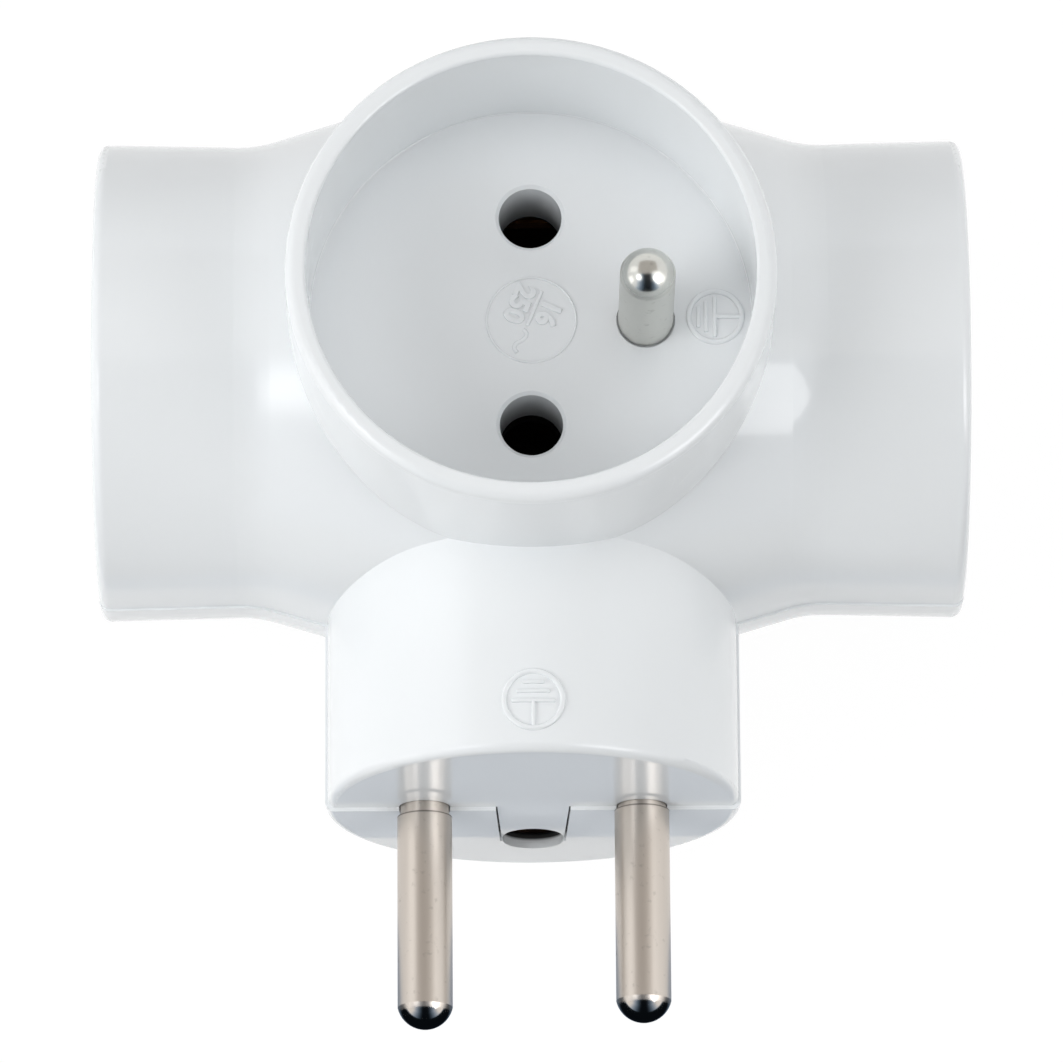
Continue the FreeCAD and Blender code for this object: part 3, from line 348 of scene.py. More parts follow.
    def make_turning(self) -> bpy.types.NodeTree:
        """Makes the group of a turned rod: rings of the tool, streaks along the rod and pits in the plate.

        Returns:
            The group, with the outputs Rings, Streaks and Pits.
        """
        inputs = {"Pitch": 9000.0, "Length": 700.0}
        board, start, end = open_group("turned rod", inputs, ("Rings", "Streaks", "Pits"))
        where = start.outputs["Vector"]
        rings = board.noise(board.stretch(where, (0.02, 0.02, 1.0)), start.outputs["Pitch"], 3.0)
        streaks = board.noise(board.stretch(where, (1.0, 1.0, 0.05)), start.outputs["Length"], 4.0)
        pits = board.ramp(board.noise(where, 1500.0, 4.0), (0.62, 0.78))
        board.feed(end, Rings=rings, Streaks=streaks, Pits=pits)
        return board.tree

    def make_rolling(self) -> bpy.types.NodeTree:
        """Makes the group of stamped sheet: rolling lines one way and a slow tarnish.

        Returns:
            The group, with the outputs Lines and Tarnish.
        """
        board, start, end = open_group("rolled sheet", {"Fine": 5200.0, "Slow": 160.0}, ("Lines", "Tarnish"))
        where = start.outputs["Vector"]
        lines = board.noise(board.stretch(where, (0.03, 1.0, 1.0)), start.outputs["Fine"], 3.0)
        tarnish = board.noise(where, start.outputs["Slow"], 5.0)
        board.feed(end, Lines=lines, Tarnish=tarnish)
        return board.tree


def open_material(name: str) -> tuple[bpy.types.Material, Board, bpy.types.Node]:
    """Makes a material with a Principled shader.

    Args:
        name: The material's name.

    Returns:
        The material, its board and its shader node.
    """
    material = bpy.data.materials.new(name)
    material.use_nodes = True
    board = Board(material.node_tree)
    shader = next(node for node in material.node_tree.nodes if node.type == "BSDF_PRINCIPLED")
    return material, board, shader


def blend_colours(board: Board, share: object, first: Colour, second: Colour) -> bpy.types.NodeSocket:
    """Adds a colour mix.

    Args:
        board: Where it goes.
        share: The mask; 0 gives the first colour.
        first: A linear colour.
        second: Another.

    Returns:
        The mixed colour.
    """
    mix = board.add("Mix", data_type="RGBA")
    mix.inputs[6].default_value = (*first, 1.0)
    mix.inputs[7].default_value = (*second, 1.0)
    board.tree.links.new(share, mix.inputs[0])
    return mix.outputs[2]


def darker(colour: Colour, share: float) -> Colour:
    """Gives a colour times a share."""
    return tuple(part * share for part in colour)


@dataclass(frozen=True)
class PlasticFinish:
    """A moulded plastic, with a group of the patterns that paints shade on it in its holes."""

    name: str
    colour: Colour
    roughness: float = 0.12
    wave: float = 90.0
    grain: float = 2600.0
    wave_depth: float = 0.012 * MM
    polished_under: float = -1.0
    holes: str = ""
    hole_radius: float = SLEEVE_RADIUS

    def material(self, patterns: Patterns) -> bpy.types.Material:
        """Builds the material.

        Args:
            patterns: The shared groups.

        Returns:
            The material.
        """
        material, board, shader = open_material(self.name)
        where = board.add("TexCoord").outputs["Object"]
        moulding = board.group(patterns.moulding, Vector=where, Wave=self.wave, Grain=self.grain)
        handling = board.group(patterns.handling, Vector=where)
        colour = blend_colours(board, moulding.outputs["Mottle"], darker(self.colour, 0.985), self.colour)
        # Painted shade: the chosen hole group darkens the colour in and behind the holes.
        if self.holes:
            hole = board.group(getattr(patterns, self.holes), Vector=where, Radius=self.hole_radius)
            dim = board.add("VectorMath", operation="SCALE")
            colour = board.feed(dim, at0=colour, Scale=hole.outputs["Light"]).outputs[0]
        rubbed = board.span(handling.outputs["Smudge"], self.roughness * 0.85, self.roughness * 1.35)
        rough = board.maths("ADD", rubbed, board.maths("MULTIPLY", handling.outputs["Hairline"], 0.10))
        parts = board.feed(board.add("SeparateXYZ"), Vector=where)
        near = self.polished_under
        gloss = board.ramp(parts.outputs["Y"], (near - MM, near), (0.45, 1.0), "polished plug face")
        rough = board.maths("MULTIPLY", rough, gloss)
        board.feed(shader, Base_Color=colour, Roughness=rough, IOR=1.5)
        bump = board.add("Bump")
        board.feed(bump, Strength=0.35, Distance=self.wave_depth, Height=moulding.outputs["Height"])
        board.feed(shader, Normal=bump.outputs[0])
        return material


@dataclass(frozen=True)
class PinFinish:
    """Nickel plate on a turned pin, with a polished end and a painted shadow at its shoulder."""

    name: str
    along: Along
    centre: tuple[float, float, float]
    polished_from: float
    colour: Colour = (0.66, 0.60, 0.54)
    roughness: float = 0.34
    dome: float = 0.11
    worn: float = 0.0

    def material(self, patterns: Patterns) -> bpy.types.Material:
        """Builds the material.

        Args:
            patterns: The shared groups.

        Returns:
            The material.
        """
        material, board, shader = open_material(self.name)
        where = board.add("TexCoord").outputs["Object"]
        move = board.add("VectorMath", "pin's middle", operation="SUBTRACT")
        board.feed(move, at0=where, at1=self.centre)
        turn = board.add("Mapping", "pin's axis")
        board.feed(turn, Vector=move.outputs[0], Rotation=self.along.value)
        turning = board.group(patterns.turning, Vector=turn.outputs[0])
        parts = board.feed(board.add("SeparateXYZ"), Vector=turn.outputs[0])
        edge = (self.polished_from - 0.15 * MM, self.polished_from + 0.15 * MM)
        polish = board.ramp(parts.outputs["Z"], edge, label="polished end", smooth=True)
        satin = board.span(turning.outputs["Streaks"], self.roughness * 0.75, self.roughness * 1.3)
        satin = board.maths("ADD", satin, board.maths("MULTIPLY", turning.outputs["Pits"], 0.12))
        mix = board.add("Mix", data_type="FLOAT")
        board.feed(mix, at0=polish, at2=satin, at3=self.dome)
        colour = blend_colours(board, turning.outputs["Streaks"], darker(self.colour, 0.86), self.colour)
        pits = turning.outputs["Pits"]
        # Painted shadow: a dark band at the shoulder, where the pin meets the face, shares the dark colour of
        # the real plating pits.
        off = board.maths("ABSOLUTE", parts.outputs["Z"])
        line = board.ramp(off, (0.05 * MM, 0.16 * MM), (0.75, 0.0), "painted shadow at the shoulder", smooth=True)
        pits_and_shoulder_shadow = board.maths("MAXIMUM", line, board.maths("MULTIPLY", pits, 0.25))
        pits_and_shadow_colour = board.add("Mix", data_type="RGBA")
        board.feed(pits_and_shadow_colour, at0=pits_and_shoulder_shadow, at6=colour, at7=(0.10, 0.085, 0.07, 1.0))
        colour = pits_and_shadow_colour.outputs[2]
        board.feed(shader, Base_Color=colour, Metallic=1.0, Roughness=mix.outputs[0])
        relief = board.maths("SUBTRACT", turning.outputs["Rings"], board.maths("MULTIPLY", pits, 0.5))
        dull = board.maths("MULTIPLY", relief, board.span(polish, 1.0, self.worn))
        bump = board.add("Bump")
        board.feed(bump, Strength=0.4, Distance=0.002 * MM, Height=dull)
        board.feed(shader, Normal=bump.outputs[0])
        return material


@dataclass(frozen=True)
class SheetFinish:
    """Stamped sheet metal of the inner parts."""

    name: str
    colour: Colour
    tarnished: Colour
    roughness: float = 0.32

    def material(self, patterns: Patterns) -> bpy.types.Material:
        """Builds the material.

        Args:
            patterns: The shared groups.

        Returns:
            The material.
        """
        material, board, shader = open_material(self.name)
        where = board.add("TexCoord").outputs["Object"]
        rolling = board.group(patterns.rolling, Vector=where)
        handling = board.group(patterns.handling, Vector=where, Size=420.0)
        share = board.span(rolling.outputs["Tarnish"], -0.6, 1.4)
        colour = blend_colours(board, share, self.colour, self.tarnished)
        rough = board.span(rolling.outputs["Lines"], self.roughness * 0.7, self.roughness * 1.4)
        rough = board.maths("ADD", rough, board.maths("MULTIPLY", handling.outputs["Smudge"], 0.08))
        board.feed(shader, Base_Color=colour, Metallic=1.0, Roughness=rough)
        bump = board.add("Bump")
        board.feed(bump, Strength=0.3, Distance=0.004 * MM, Height=rolling.outputs["Lines"])
        board.feed(shader, Normal=bump.outputs[0])
        return material


# Painted shade: the case darkens inside the plug's earth hole behind its lip, through its holes group.
CASE = PlasticFinish(
    "glossy white case",
    (0.865, 0.89, 0.905),
    roughness=0.11,
    polished_under=POLISHED_PLUG_END,
    holes="earth_hole_shade",
    hole_radius=EARTH_HOLE_RADIUS,
)
# Painted shade: the socket faces darken in and behind the live holes, through their holes group.
FACE = PlasticFinish(
    "glossy white socket face", (0.85, 0.87, 0.885), roughness=0.13, wave=140.0, holes="live_hole_shade"
)
# Painted shade: the insulator's colour is set well below its own off-white, and its holes group darkens it
# under the live holes, where it shows only through them.
CARRIER = PlasticFinish(
    "matt insulator",
    (0.50, 0.48, 0.42),
    roughness=0.45,
    grain=1900.0,
    wave_depth=0.03 * MM,
    holes="live_hole_shade",
    hole_radius=CARRIER_RADIUS,
)
BRASS = SheetFinish("stamped brass", (0.62, 0.43, 0.17), (0.40, 0.25, 0.10))
# Painted shade: both colours of the contact bronze are set far darker than bronze's own, so the contacts read
# as shade inside the holes; the tarnish pattern between them is real.
BRONZE_IN_PAINTED_SHADE = SheetFinish("sprung bronze darkened as painted shade", (0.12, 0.065, 0.04), (0.05, 0.03, 0.02), roughness=0.42)
TINNED = SheetFinish("tinned strip", (0.58, 0.56, 0.52), (0.42, 0.39, 0.35), roughness=0.36)
ZINC = SheetFinish("zinc-plated screw", (0.55, 0.56, 0.58), (0.38, 0.39, 0.42), roughness=0.30)


def close_mesh(shape: bmesh.types.BMesh, name: str, smooth: bool = True) -> bpy.types.Object:
    """Turns a finished bmesh into an object at the origin.

    Args:
        shape: The bmesh, which is freed.
        name: The object's name.
        smooth: Whether its faces are shaded smooth.

    Returns:
        The object, linked to the scene.
    """
    bmesh.ops.remove_doubles(shape, verts=shape.verts, dist=1e-7)
    bmesh.ops.recalc_face_normals(shape, faces=shape.faces)
    for face in shape.faces:
        face.smooth = smooth
    mesh = bpy.data.meshes.new(name)
    shape.to_mesh(mesh)
    shape.free()
    item = bpy.data.objects.new(name, mesh)
    bpy.context.collection.objects.link(item)
    return item


def spin_about_z(shape: bmesh.types.BMesh, section: list[object], steps: int) -> None:
    """Spins a section once round the Z axis.

    Args:
        shape: Where the section is.
        section: Its points and edges.
        steps: How many steps the round has.
    """
    bmesh.ops.spin(
        shape,
        geom=section,
        cent=(0.0, 0.0, 0.0),
        axis=(0.0, 0.0, 1.0),
        angle=2 * math.pi,
        steps=steps,
        use_merge=True,
    )


def add_ring(shape: bmesh.types.BMesh, radius: float, width: float, height: float, sunk: float) -> None:
    """Adds a raised ring with a rounded top about the origin.

    Args:
        shape: Where it goes.
        radius: The middle of its band.
        width: Its band.
        height: How far it stands up.
        sunk: How far it reaches under the surface.
    """
    half = [(0.4, 1.0), (0.8, 0.78), (1.0, 0.35), (1.0, -1.0)]
    section = [(-across, up) for across, up in reversed(half)] + half
    points = []
    for across, up in section:
        level = up * height if up > 0 else -sunk
        points.append(shape.verts.new((radius + across * width / 2, 0.0, level)))
    edges = [shape.edges.new(pair) for pair in zip(points, points[1:] + points[:1])]
    spin_about_z(shape, points + edges, 96)


def add_bar(
    shape: bmesh.types.BMesh,
    start: tuple[float, float],
    end: tuple[float, float],
    width: float,
    height: float,
    sunk: float,
) -> None:
    """Adds a raised bar with rounded edges.

    Args:
        shape: Where it goes.
        start: The middle of one end.
        end: The middle of the other.
        width: Its width.
        height: How far it stands up.
        sunk: How far it reaches under the surface.
    """
    run = Vector((end[0] - start[0], end[1] - start[1]))
    bar = bmesh.new()
    bmesh.ops.create_cube(bar, size=1.0)
    bmesh.ops.scale(bar, verts=bar.verts, vec=(run.length, width, height + sunk))
    low = [edge for edge in bar.edges if max(vert.co.z for vert in edge.verts) < 0]
    bmesh.ops.bevel(
        bar,
        geom=[edge for edge in bar.edges if edge not in low],
        offset=min(width * 0.3, height * 0.5),
        offset_type="OFFSET",
        segments=3,
        profile=0.5,
        affect="EDGES",
        material=-1,
    )
    long = [edge for edge in bar.edges if abs(edge.verts[0].co.x - edge.verts[1].co.x) > run.length / 2]
    bmesh.ops.subdivide_edges(bar, edges=long, cuts=7)
    middle = Vector(((start[0] + end[0]) / 2, (start[1] + end[1]) / 2, (height - sunk) / 2))
    turn = Matrix.Rotation(math.atan2(run.y, run.x), 4, "Z")
    bmesh.ops.transform(bar, matrix=Matrix.Translation(middle) @ turn, verts=bar.verts)
    made = bpy.data.meshes.new("bar")
    bar.to_mesh(made)
    bar.free()
    shape.from_mesh(made)
    bpy.data.meshes.remove(made)


def wrap_on_barrel(item: bpy.types.Object, radius: float) -> None:
    """Bends a flat piece round a barrel whose axis runs along Y through the origin.

    Args:
        item: The piece, flat on the XY plane.
        radius: The barrel's radius.
    """
    for vert in item.data.vertices:
        angle = vert.co.x / radius
        reach = radius + vert.co.z
        vert.co = Vector((reach * math.sin(angle), vert.co.y, reach * math.cos(angle)))


def place(item: bpy.types.Object, at: Vector, spin: float = 0.0) -> None:
    """Moves a piece's mesh to its place.

    Args:
        item: The piece.
        at: Where its origin goes.
        spin: Its turn about Z before that, in radians.
    """
    item.data.transform(Matrix.Translation(at) @ Matrix.Rotation(spin, 4, "Z"))
    item.data.update()


def curve_to_mesh(curve: bpy.types.Curve) -> bpy.types.Mesh:
    """Turns a curve or a text into a mesh.

    Args:
        curve: The curve data.

    Returns:
        The mesh, with no object of its own.
    """
    item = bpy.data.objects.new(curve.name, curve)
    bpy.context.collection.objects.link(item)
    graph = bpy.context.evaluated_depsgraph_get()
    mesh = bpy.data.meshes.new_from_object(item.evaluated_get(graph))
    bpy.data.objects.remove(item)
    return mesh


@dataclass
class EarthSign:
    """A raised earth sign in a ring."""

    name: str
    ring: float
    ring_width: float
    bar_width: float
    height: float
    bars: tuple[tuple[float, float], ...]
    stem_end: float
    sunk: float = 0.10 * MM

    def build(self) -> bpy.types.Object:
        """Builds the sign flat on the XY plane, with its stem towards -Y.

        Returns:
            The sign.
        """
        shape = bmesh.new()
        add_ring(shape, self.ring, self.ring_width, self.height, self.sunk)
        for level, half in self.bars:
            add_bar(shape, (-half, level), (half, level), self.bar_width, self.height, self.sunk)
        last = self.bars[-1][0]
        add_bar(shape, (0.0, last), (0.0, self.stem_end), self.bar_width, self.height, self.sunk)
        return close_mesh(shape, self.name)


@dataclass
class RatingDisc:
    """The fine ring on the front socket's floor, with plain figures in it."""

    name: str = "rating_disc"
    ring: float = 3.88 * MM
    ring_width: float = 0.20 * MM
    height: float = 0.16 * MM
    sunk: float = 0.08 * MM
    bar: tuple[tuple[float, float], tuple[float, float]] = ((0.93 * MM, 2.66 * MM), (-0.37 * MM, -0.52 * MM))
    bar_width: float = 0.34 * MM
    slope: float = math.radians(-113.6)
    figure_size: float = 2.40 * MM
    figure_growth: float = 0.07 * MM
    figure_bevel: float = 0.05 * MM
    figures: tuple[tuple[str, float, float], ...] = (
        ("16", 1.46 * MM, 0.38 * MM),
        ("250", -1.02 * MM, 1.46 * MM),
    )
    wave_radius: float = 0.18 * MM
    wave: tuple[tuple[float, float], ...] = (
        (-0.69, -0.88),
        (-0.47, -1.04),
        (-0.40, -1.36),
        (-0.56, -1.71),
        (-0.95, -1.96),
        (-1.33, -2.11),
        (-1.52, -2.38),
        (-1.50, -2.70),
        (-1.27, -3.00),
    )

    def figure_mesh(self, text: str, x: float, y: float) -> bpy.types.Mesh:
        """Makes one group of figures.

        Args:
            text: The figures.
            x: The middle of the group.
            y: The middle of the group.

        Returns:
            Its mesh, in place on the XY plane.
        """
        curve = bpy.data.curves.new(f"figures_{text}", "FONT")
        curve.body = text
        curve.size = self.figure_size
        curve.offset = self.figure_growth
        curve.align_x = "CENTER"
        curve.align_y = "CENTER"
        curve.extrude = (self.height + self.sunk) / 2
        curve.bevel_depth = self.figure_bevel
        curve.bevel_resolution = 2
        curve.resolution_u = 4
        mesh = curve_to_mesh(curve)
        low, high = (Vector(side(v.co[i] for v in mesh.vertices) for i in range(3)) for side in (min, max))
        turn = Matrix.Rotation(self.slope, 4, "Z") @ Matrix.Translation(-(low + high) / 2)
        mesh.transform(Matrix.Translation((x, y, (self.height - self.sunk) / 2)) @ turn)
        return mesh

    def wave_mesh(self) -> bpy.types.Mesh:
        """Makes the mark of alternating current, a flattened round cord along a wave.

        Returns:
            Its mesh, in place on the XY plane.
        """
        curve = bpy.data.curves.new("wave", "CURVE")
        curve.dimensions = "3D"
        spline = curve.splines.new("NURBS")
        spline.points.add(len(self.wave) - 1)
        for point, (x, y) in zip(spline.points, self.wave):
            point.co = (x * MM, y * MM, 0.0, 1.0)
        spline.use_endpoint_u = True
        spline.resolution_u = 6
        curve.bevel_depth = self.wave_radius
        curve.bevel_resolution = 3
        curve.use_fill_caps = True
        mesh = curve_to_mesh(curve)
        mesh.transform(Matrix.Diagonal((1.0, 1.0, self.height / self.wave_radius, 1.0)))
        return mesh

    def build(self) -> bpy.types.Object:
        """Builds the disc's ring, bar and figures flat on the XY plane.

        Returns:
            The piece.
        """
        shape = bmesh.new()
        add_ring(shape, self.ring, self.ring_width, self.height, self.sunk)
        add_bar(shape, self.bar[0], self.bar[1], self.bar_width, self.height, self.sunk)
        for text, x, y in self.figures:
            shape.from_mesh(self.figure_mesh(text, x, y))
        shape.from_mesh(self.wave_mesh())
        return close_mesh(shape, self.name)


@dataclass
class CornerBead:
    """A round bead about a socket's axis, at the foot of the recess or along its lip."""

    name: str
    along: Along
    middle: tuple[float, float, float]
    radius: float = 19.30 * MM
    size: float = 0.11 * MM
    sides: int = 12
    steps: int = 192

    def build(self) -> bpy.types.Object:
        """Builds the bead as a ring of round section.

        Returns:
            The bead.
        """
        shape = bmesh.new()
        made = bmesh.ops.create_circle(shape, cap_ends=False, radius=self.size, segments=self.sides)
        turn = Matrix.Translation((self.radius, 0.0, 0.0)) @ Matrix.Rotation(math.pi / 2, 4, "X")
        bmesh.ops.transform(shape, matrix=turn, verts=made["verts"])
        spin_about_z(shape, shape.verts[:] + shape.edges[:], self.steps)
        bead = close_mesh(shape, self.name)
        lean = Euler(self.along.value).to_matrix().to_4x4().inverted()
        bead.data.transform(Matrix.Translation(self.middle) @ lean)
        return bead


def recess_lip(name: str, along: Along, middle: tuple[float, float, float]) -> CornerBead:
    """Gives the rounded inner edge of a recess's rim.

    Args:
        name: The piece's name.
        along: The socket's direction.
        middle: The centre of the round on the socket's axis.

    Returns:
        The bead, not built yet.
    """
    return CornerBead(name, along, middle, LIP_RADIUS, LIP_ROUND, sides=32, steps=384)


@dataclass
class CaseMarks:
    """The raised marks, the beads at the recesses' feet and their rounded lips."""

    plug_radius: float = 18.0 * MM
    disc_at: tuple[float, float] = (0.05 * MM, 0.04 * MM)
    floor_sign_at: tuple[float, float] = (16.06 * MM, 0.25 * MM)
    plug_sign_at: tuple[float, float] = (0.0, -34.78 * MM)
    floor_sign: EarthSign = field(
        default_factory=lambda: EarthSign(
            "floor_earth_sign",
            ring=2.31 * MM,
            ring_width=0.46 * MM,
            bar_width=0.36 * MM,
            height=0.24 * MM,
            bars=((1.47 * MM, 0.98 * MM), (0.82 * MM, 1.43 * MM), (0.04 * MM, 1.86 * MM)),
            stem_end=-2.25 * MM,
        )
    )
    plug_sign: EarthSign = field(
        default_factory=lambda: EarthSign(
            "plug_earth_sign",
            ring=2.52 * MM,
            ring_width=0.48 * MM,
            bar_width=0.32 * MM,
            height=0.23 * MM,
            bars=((1.55 * MM, 0.95 * MM), (0.75 * MM, 1.45 * MM), (-0.10 * MM, 1.90 * MM)),
            stem_end=-2.4 * MM,
        )
    )
    disc: RatingDisc = field(default_factory=RatingDisc)
    beads: tuple[CornerBead, ...] = (
        CornerBead("front_corner_bead", Along.UP, (0.0, 0.0, FRONT_FLOOR)),
        CornerBead("left_corner_bead", Along.LEFT, (-SIDE_FLOOR, 0.0, AXIS_HEIGHT)),
        CornerBead("right_corner_bead", Along.RIGHT, (SIDE_FLOOR, 0.0, AXIS_HEIGHT)),
    )
    lips: tuple[CornerBead, ...] = (
        recess_lip("front_lip", Along.UP, (0.0, 0.0, FRONT_LIP)),
        recess_lip("left_lip", Along.LEFT, (-SIDE_LIP, 0.0, AXIS_HEIGHT)),
        recess_lip("right_lip", Along.RIGHT, (SIDE_LIP, 0.0, AXIS_HEIGHT)),
    )

    def build(self, case: bpy.types.Material, face: bpy.types.Material) -> list[bpy.types.Object]:
        """Builds the pieces and dresses them.

        Args:
            case: The finish of the case.
            face: The finish of the socket faces.

        Returns:
            The pieces.
        """
        disc = self.disc.build()
        place(disc, Vector((*self.disc_at, FRONT_FLOOR)))
        floor_sign = self.floor_sign.build()
        place(floor_sign, Vector((*self.floor_sign_at, FRONT_FLOOR)), spin=math.pi / 2)
        plug_sign = self.plug_sign.build()
        wrap_on_barrel(plug_sign, self.plug_radius)
        place(plug_sign, Vector((*self.plug_sign_at, AXIS_HEIGHT)))
        on_face = [disc, floor_sign, *(bead.build() for bead in self.beads)]
        on_case = [plug_sign, *(lip.build() for lip in self.lips)]
        for items, finish, slot in ((on_face, face, "face_plastic"), (on_case, case, "case_plastic")):
            for item in items:
                item.data.materials.append(finish)
                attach(item, "root")
        return on_face + on_case


@dataclass
class CadDress:
    """The finishes of the CAD model's own pieces.

    A pin's entry holds its direction, the foot of its shank and the length at which its polished
    end begins, in millimetres.
    """

    pin_ends: dict[str, tuple[Along, tuple[float, float, float], float]] = field(
        default_factory=lambda: {
            "front_earth_pin": (Along.UP, (10.0, 0.0, 40.0), 12.55),
            "left_earth_pin": (Along.LEFT, (-23.6, 0.0, 13.5), 12.55),
            "right_earth_pin": (Along.RIGHT, (23.6, 0.0, 13.5), 12.55),
            "right_plug_pin": (Along.FORWARD, (9.5, -39.75, 23.5), 17.6),
            "left_plug_pin": (Along.FORWARD, (-9.5, -40.25, 23.5), 17.6),
        }
    )

    def finishes(self, patterns: Patterns) -> dict[str, bpy.types.Material]:
        """Builds the materials of every node.

        Args:
            patterns: The shared groups.

        Returns:
            Each node's material by the node's name.
        """
        case, face, carrier = (item.material(patterns) for item in (CASE, FACE, CARRIER))
        brass, bronze, tinned, zinc = (item.material(patterns) for item in (BRASS, BRONZE_IN_PAINTED_SHADE, TINNED, ZINC))
        chosen = {"front_shell": case, "rear_shell": case, "contact_carrier": carrier, "earth_strip": tinned}
        chosen |= {"line_busbar": brass, "neutral_busbar": brass, "plug_earth_contact": bronze}
        chosen |= {"upper_screw": zinc, "lower_screw": zinc}
        for side in ("front", "left", "right"):
            chosen[f"{side}_socket_face"] = face
            chosen[f"line_contact_{side}"] = bronze
            chosen[f"neutral_contact_{side}"] = bronze
        for name, (along, centre, polished) in self.pin_ends.items():
            middle = tuple(part * MM for part in centre)
            worn = {"colour": (0.70, 0.70, 0.66), "dome": 0.20, "worn": 1.0} if "earth" in name else {}
            finish = PinFinish(f"nickel of {name}", along, middle, polished * MM, **worn)
            chosen[name] = finish.material(patterns)
        return chosen

    def dress(self, patterns: Patterns) -> dict[str, bpy.types.Material]:
        """Gives every CAD node its material.

        Args:
            patterns: The shared groups.

        Returns:
            Each node's material by the node's name.
        """
        chosen = self.finishes(patterns)
        for name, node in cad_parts.items():
            for slot in node.material_slots:
                slot.material = chosen[name]
        return chosen


@dataclass(frozen=True)
class Card:
    """A dark or grey card that only reflections show, bent along a path of Y and Z."""

    name: str
    path: tuple[tuple[float, float], ...]
    half: float
    shade: float
    near_shade: float
    fade: tuple[float, float]
    tint: Colour = (1.0, 1.0, 1.0)
    core: float = 0.7

    def material(self) -> bpy.types.Material:
        """Builds its material, which fades to white at its sides and to its near shade along Y.

        Returns:
            The material.
        """
        material = bpy.data.materials.new(self.name)
        material.use_nodes = True
        board = Board(material.node_tree)
        material.node_tree.nodes.clear()
        parts = board.feed(board.add("SeparateXYZ"), Vector=board.add("TexCoord").outputs["Object"])
        along = board.ramp(parts.outputs["Y"], self.fade, (self.shade, self.near_shade), smooth=True)
        out = board.maths("ABSOLUTE", parts.outputs["X"])
        aside = board.ramp(out, (self.half * self.core, self.half), (self.shade, 1.0), smooth=True)
        strength = board.maths("MAXIMUM", along, aside)
        colour = blend_colours(board, strength, self.tint, (1.0, 1.0, 1.0))
        glow = board.feed(board.add("Emission"), Color=colour, Strength=strength)
        board.feed(board.add("OutputMaterial"), Surface=glow.outputs[0])
        return material

    def hang(self) -> None:
        """Builds the card and hides it from all but reflections."""
        shape = bmesh.new()
        line = [shape.verts.new((-self.half, y, z)) for y, z in self.path]
        edges = [shape.edges.new(pair) for pair in zip(line, line[1:])]
        made = bmesh.ops.extrude_edge_only(shape, edges=edges)["geom"]
        moved = [item for item in made if isinstance(item, bmesh.types.BMVert)]
        bmesh.ops.translate(shape, verts=moved, vec=(2 * self.half, 0.0, 0.0))
        card = close_mesh(shape, self.name, smooth=False)
        for sight in ("camera", "diffuse", "transmission", "shadow", "volume_scatter"):
            setattr(card, f"visible_{sight}", False)
        card.data.materials.append(self.material())


DARK_ROOM = Card(
    "dark_room",
    path=((-0.0435, 0.0006), (-0.72, 0.0006), (-0.75, 0.42), (-0.48, 0.74), (-0.10, 0.86)),
    half=0.95,
    shade=0.006,
    near_shade=0.55,
    fade=(-0.064, -0.044),
    tint=(0.55, 0.86, 1.3),
    core=0.12,
)
GREY_CEILING = Card(
    "grey_ceiling",
    path=((-0.09, 0.87), (0.95, 0.87)),
    half=0.75,
    shade=0.55,
    near_shade=0.55,
    fade=(0.0, 1.0),
    tint=(1.0, 0.88, 0.76),
)


class Duty(Enum):
    """What a lamp is there for."""

    LIGHT = "lights matt surfaces"
    GLINT = "shows in reflections"


@dataclass(frozen=True)
class Softbox:
    """A lamp with a broad face, at a place in metres from the object's middle.

    Its edge is the share of its face over which its glow fades out.
    """

    name: str
    towards: tuple[float, float, float]
    size: tuple[float, float]
    power: float
    duty: Duty = Duty.LIGHT
    edge: float = 0.0

    def soften(self, data: bpy.types.AreaLight) -> None:
        """Lets the glow of the lamp's face fade towards its edges.

        Args:
            data: The lamp.
        """
        data.use_nodes = True
        board = Board(data.node_tree)
        glow = next(node for node in data.node_tree.nodes if node.type == "EMISSION")
        parts = board.feed(board.add("SeparateXYZ"), Vector=board.add("NewGeometry").outputs["Parametric"])
        across, along = (board.maths("SUBTRACT", parts.outputs[axis], 0.5) for axis in ("X", "Y"))
        reach = board.maths("MULTIPLY", board.radius(across, along), 2.0)
        board.feed(glow, Strength=board.ramp(reach, (1.0 - self.edge, 1.0), (1.0, 0.0), smooth=True))

    def hang(self) -> None:
        """Builds the lamp, turned to the object."""
        data = bpy.data.lights.new(self.name, "AREA")
        data.shape = "RECTANGLE"
        data.size, data.size_y = self.size
        data.energy = self.power
        if self.edge:
            self.soften(data)
        lamp = bpy.data.objects.new(self.name, data)
        bpy.context.collection.objects.link(lamp)
        way = Vector(self.towards)
        lamp.location = LAMP_AIM + way
        lamp.rotation_mode = "QUATERNION"
        lamp.rotation_quaternion = way.to_track_quat("Z", "Y")
        lamp.visible_glossy = self.duty is Duty.GLINT
        lamp.visible_diffuse = self.duty is Duty.LIGHT


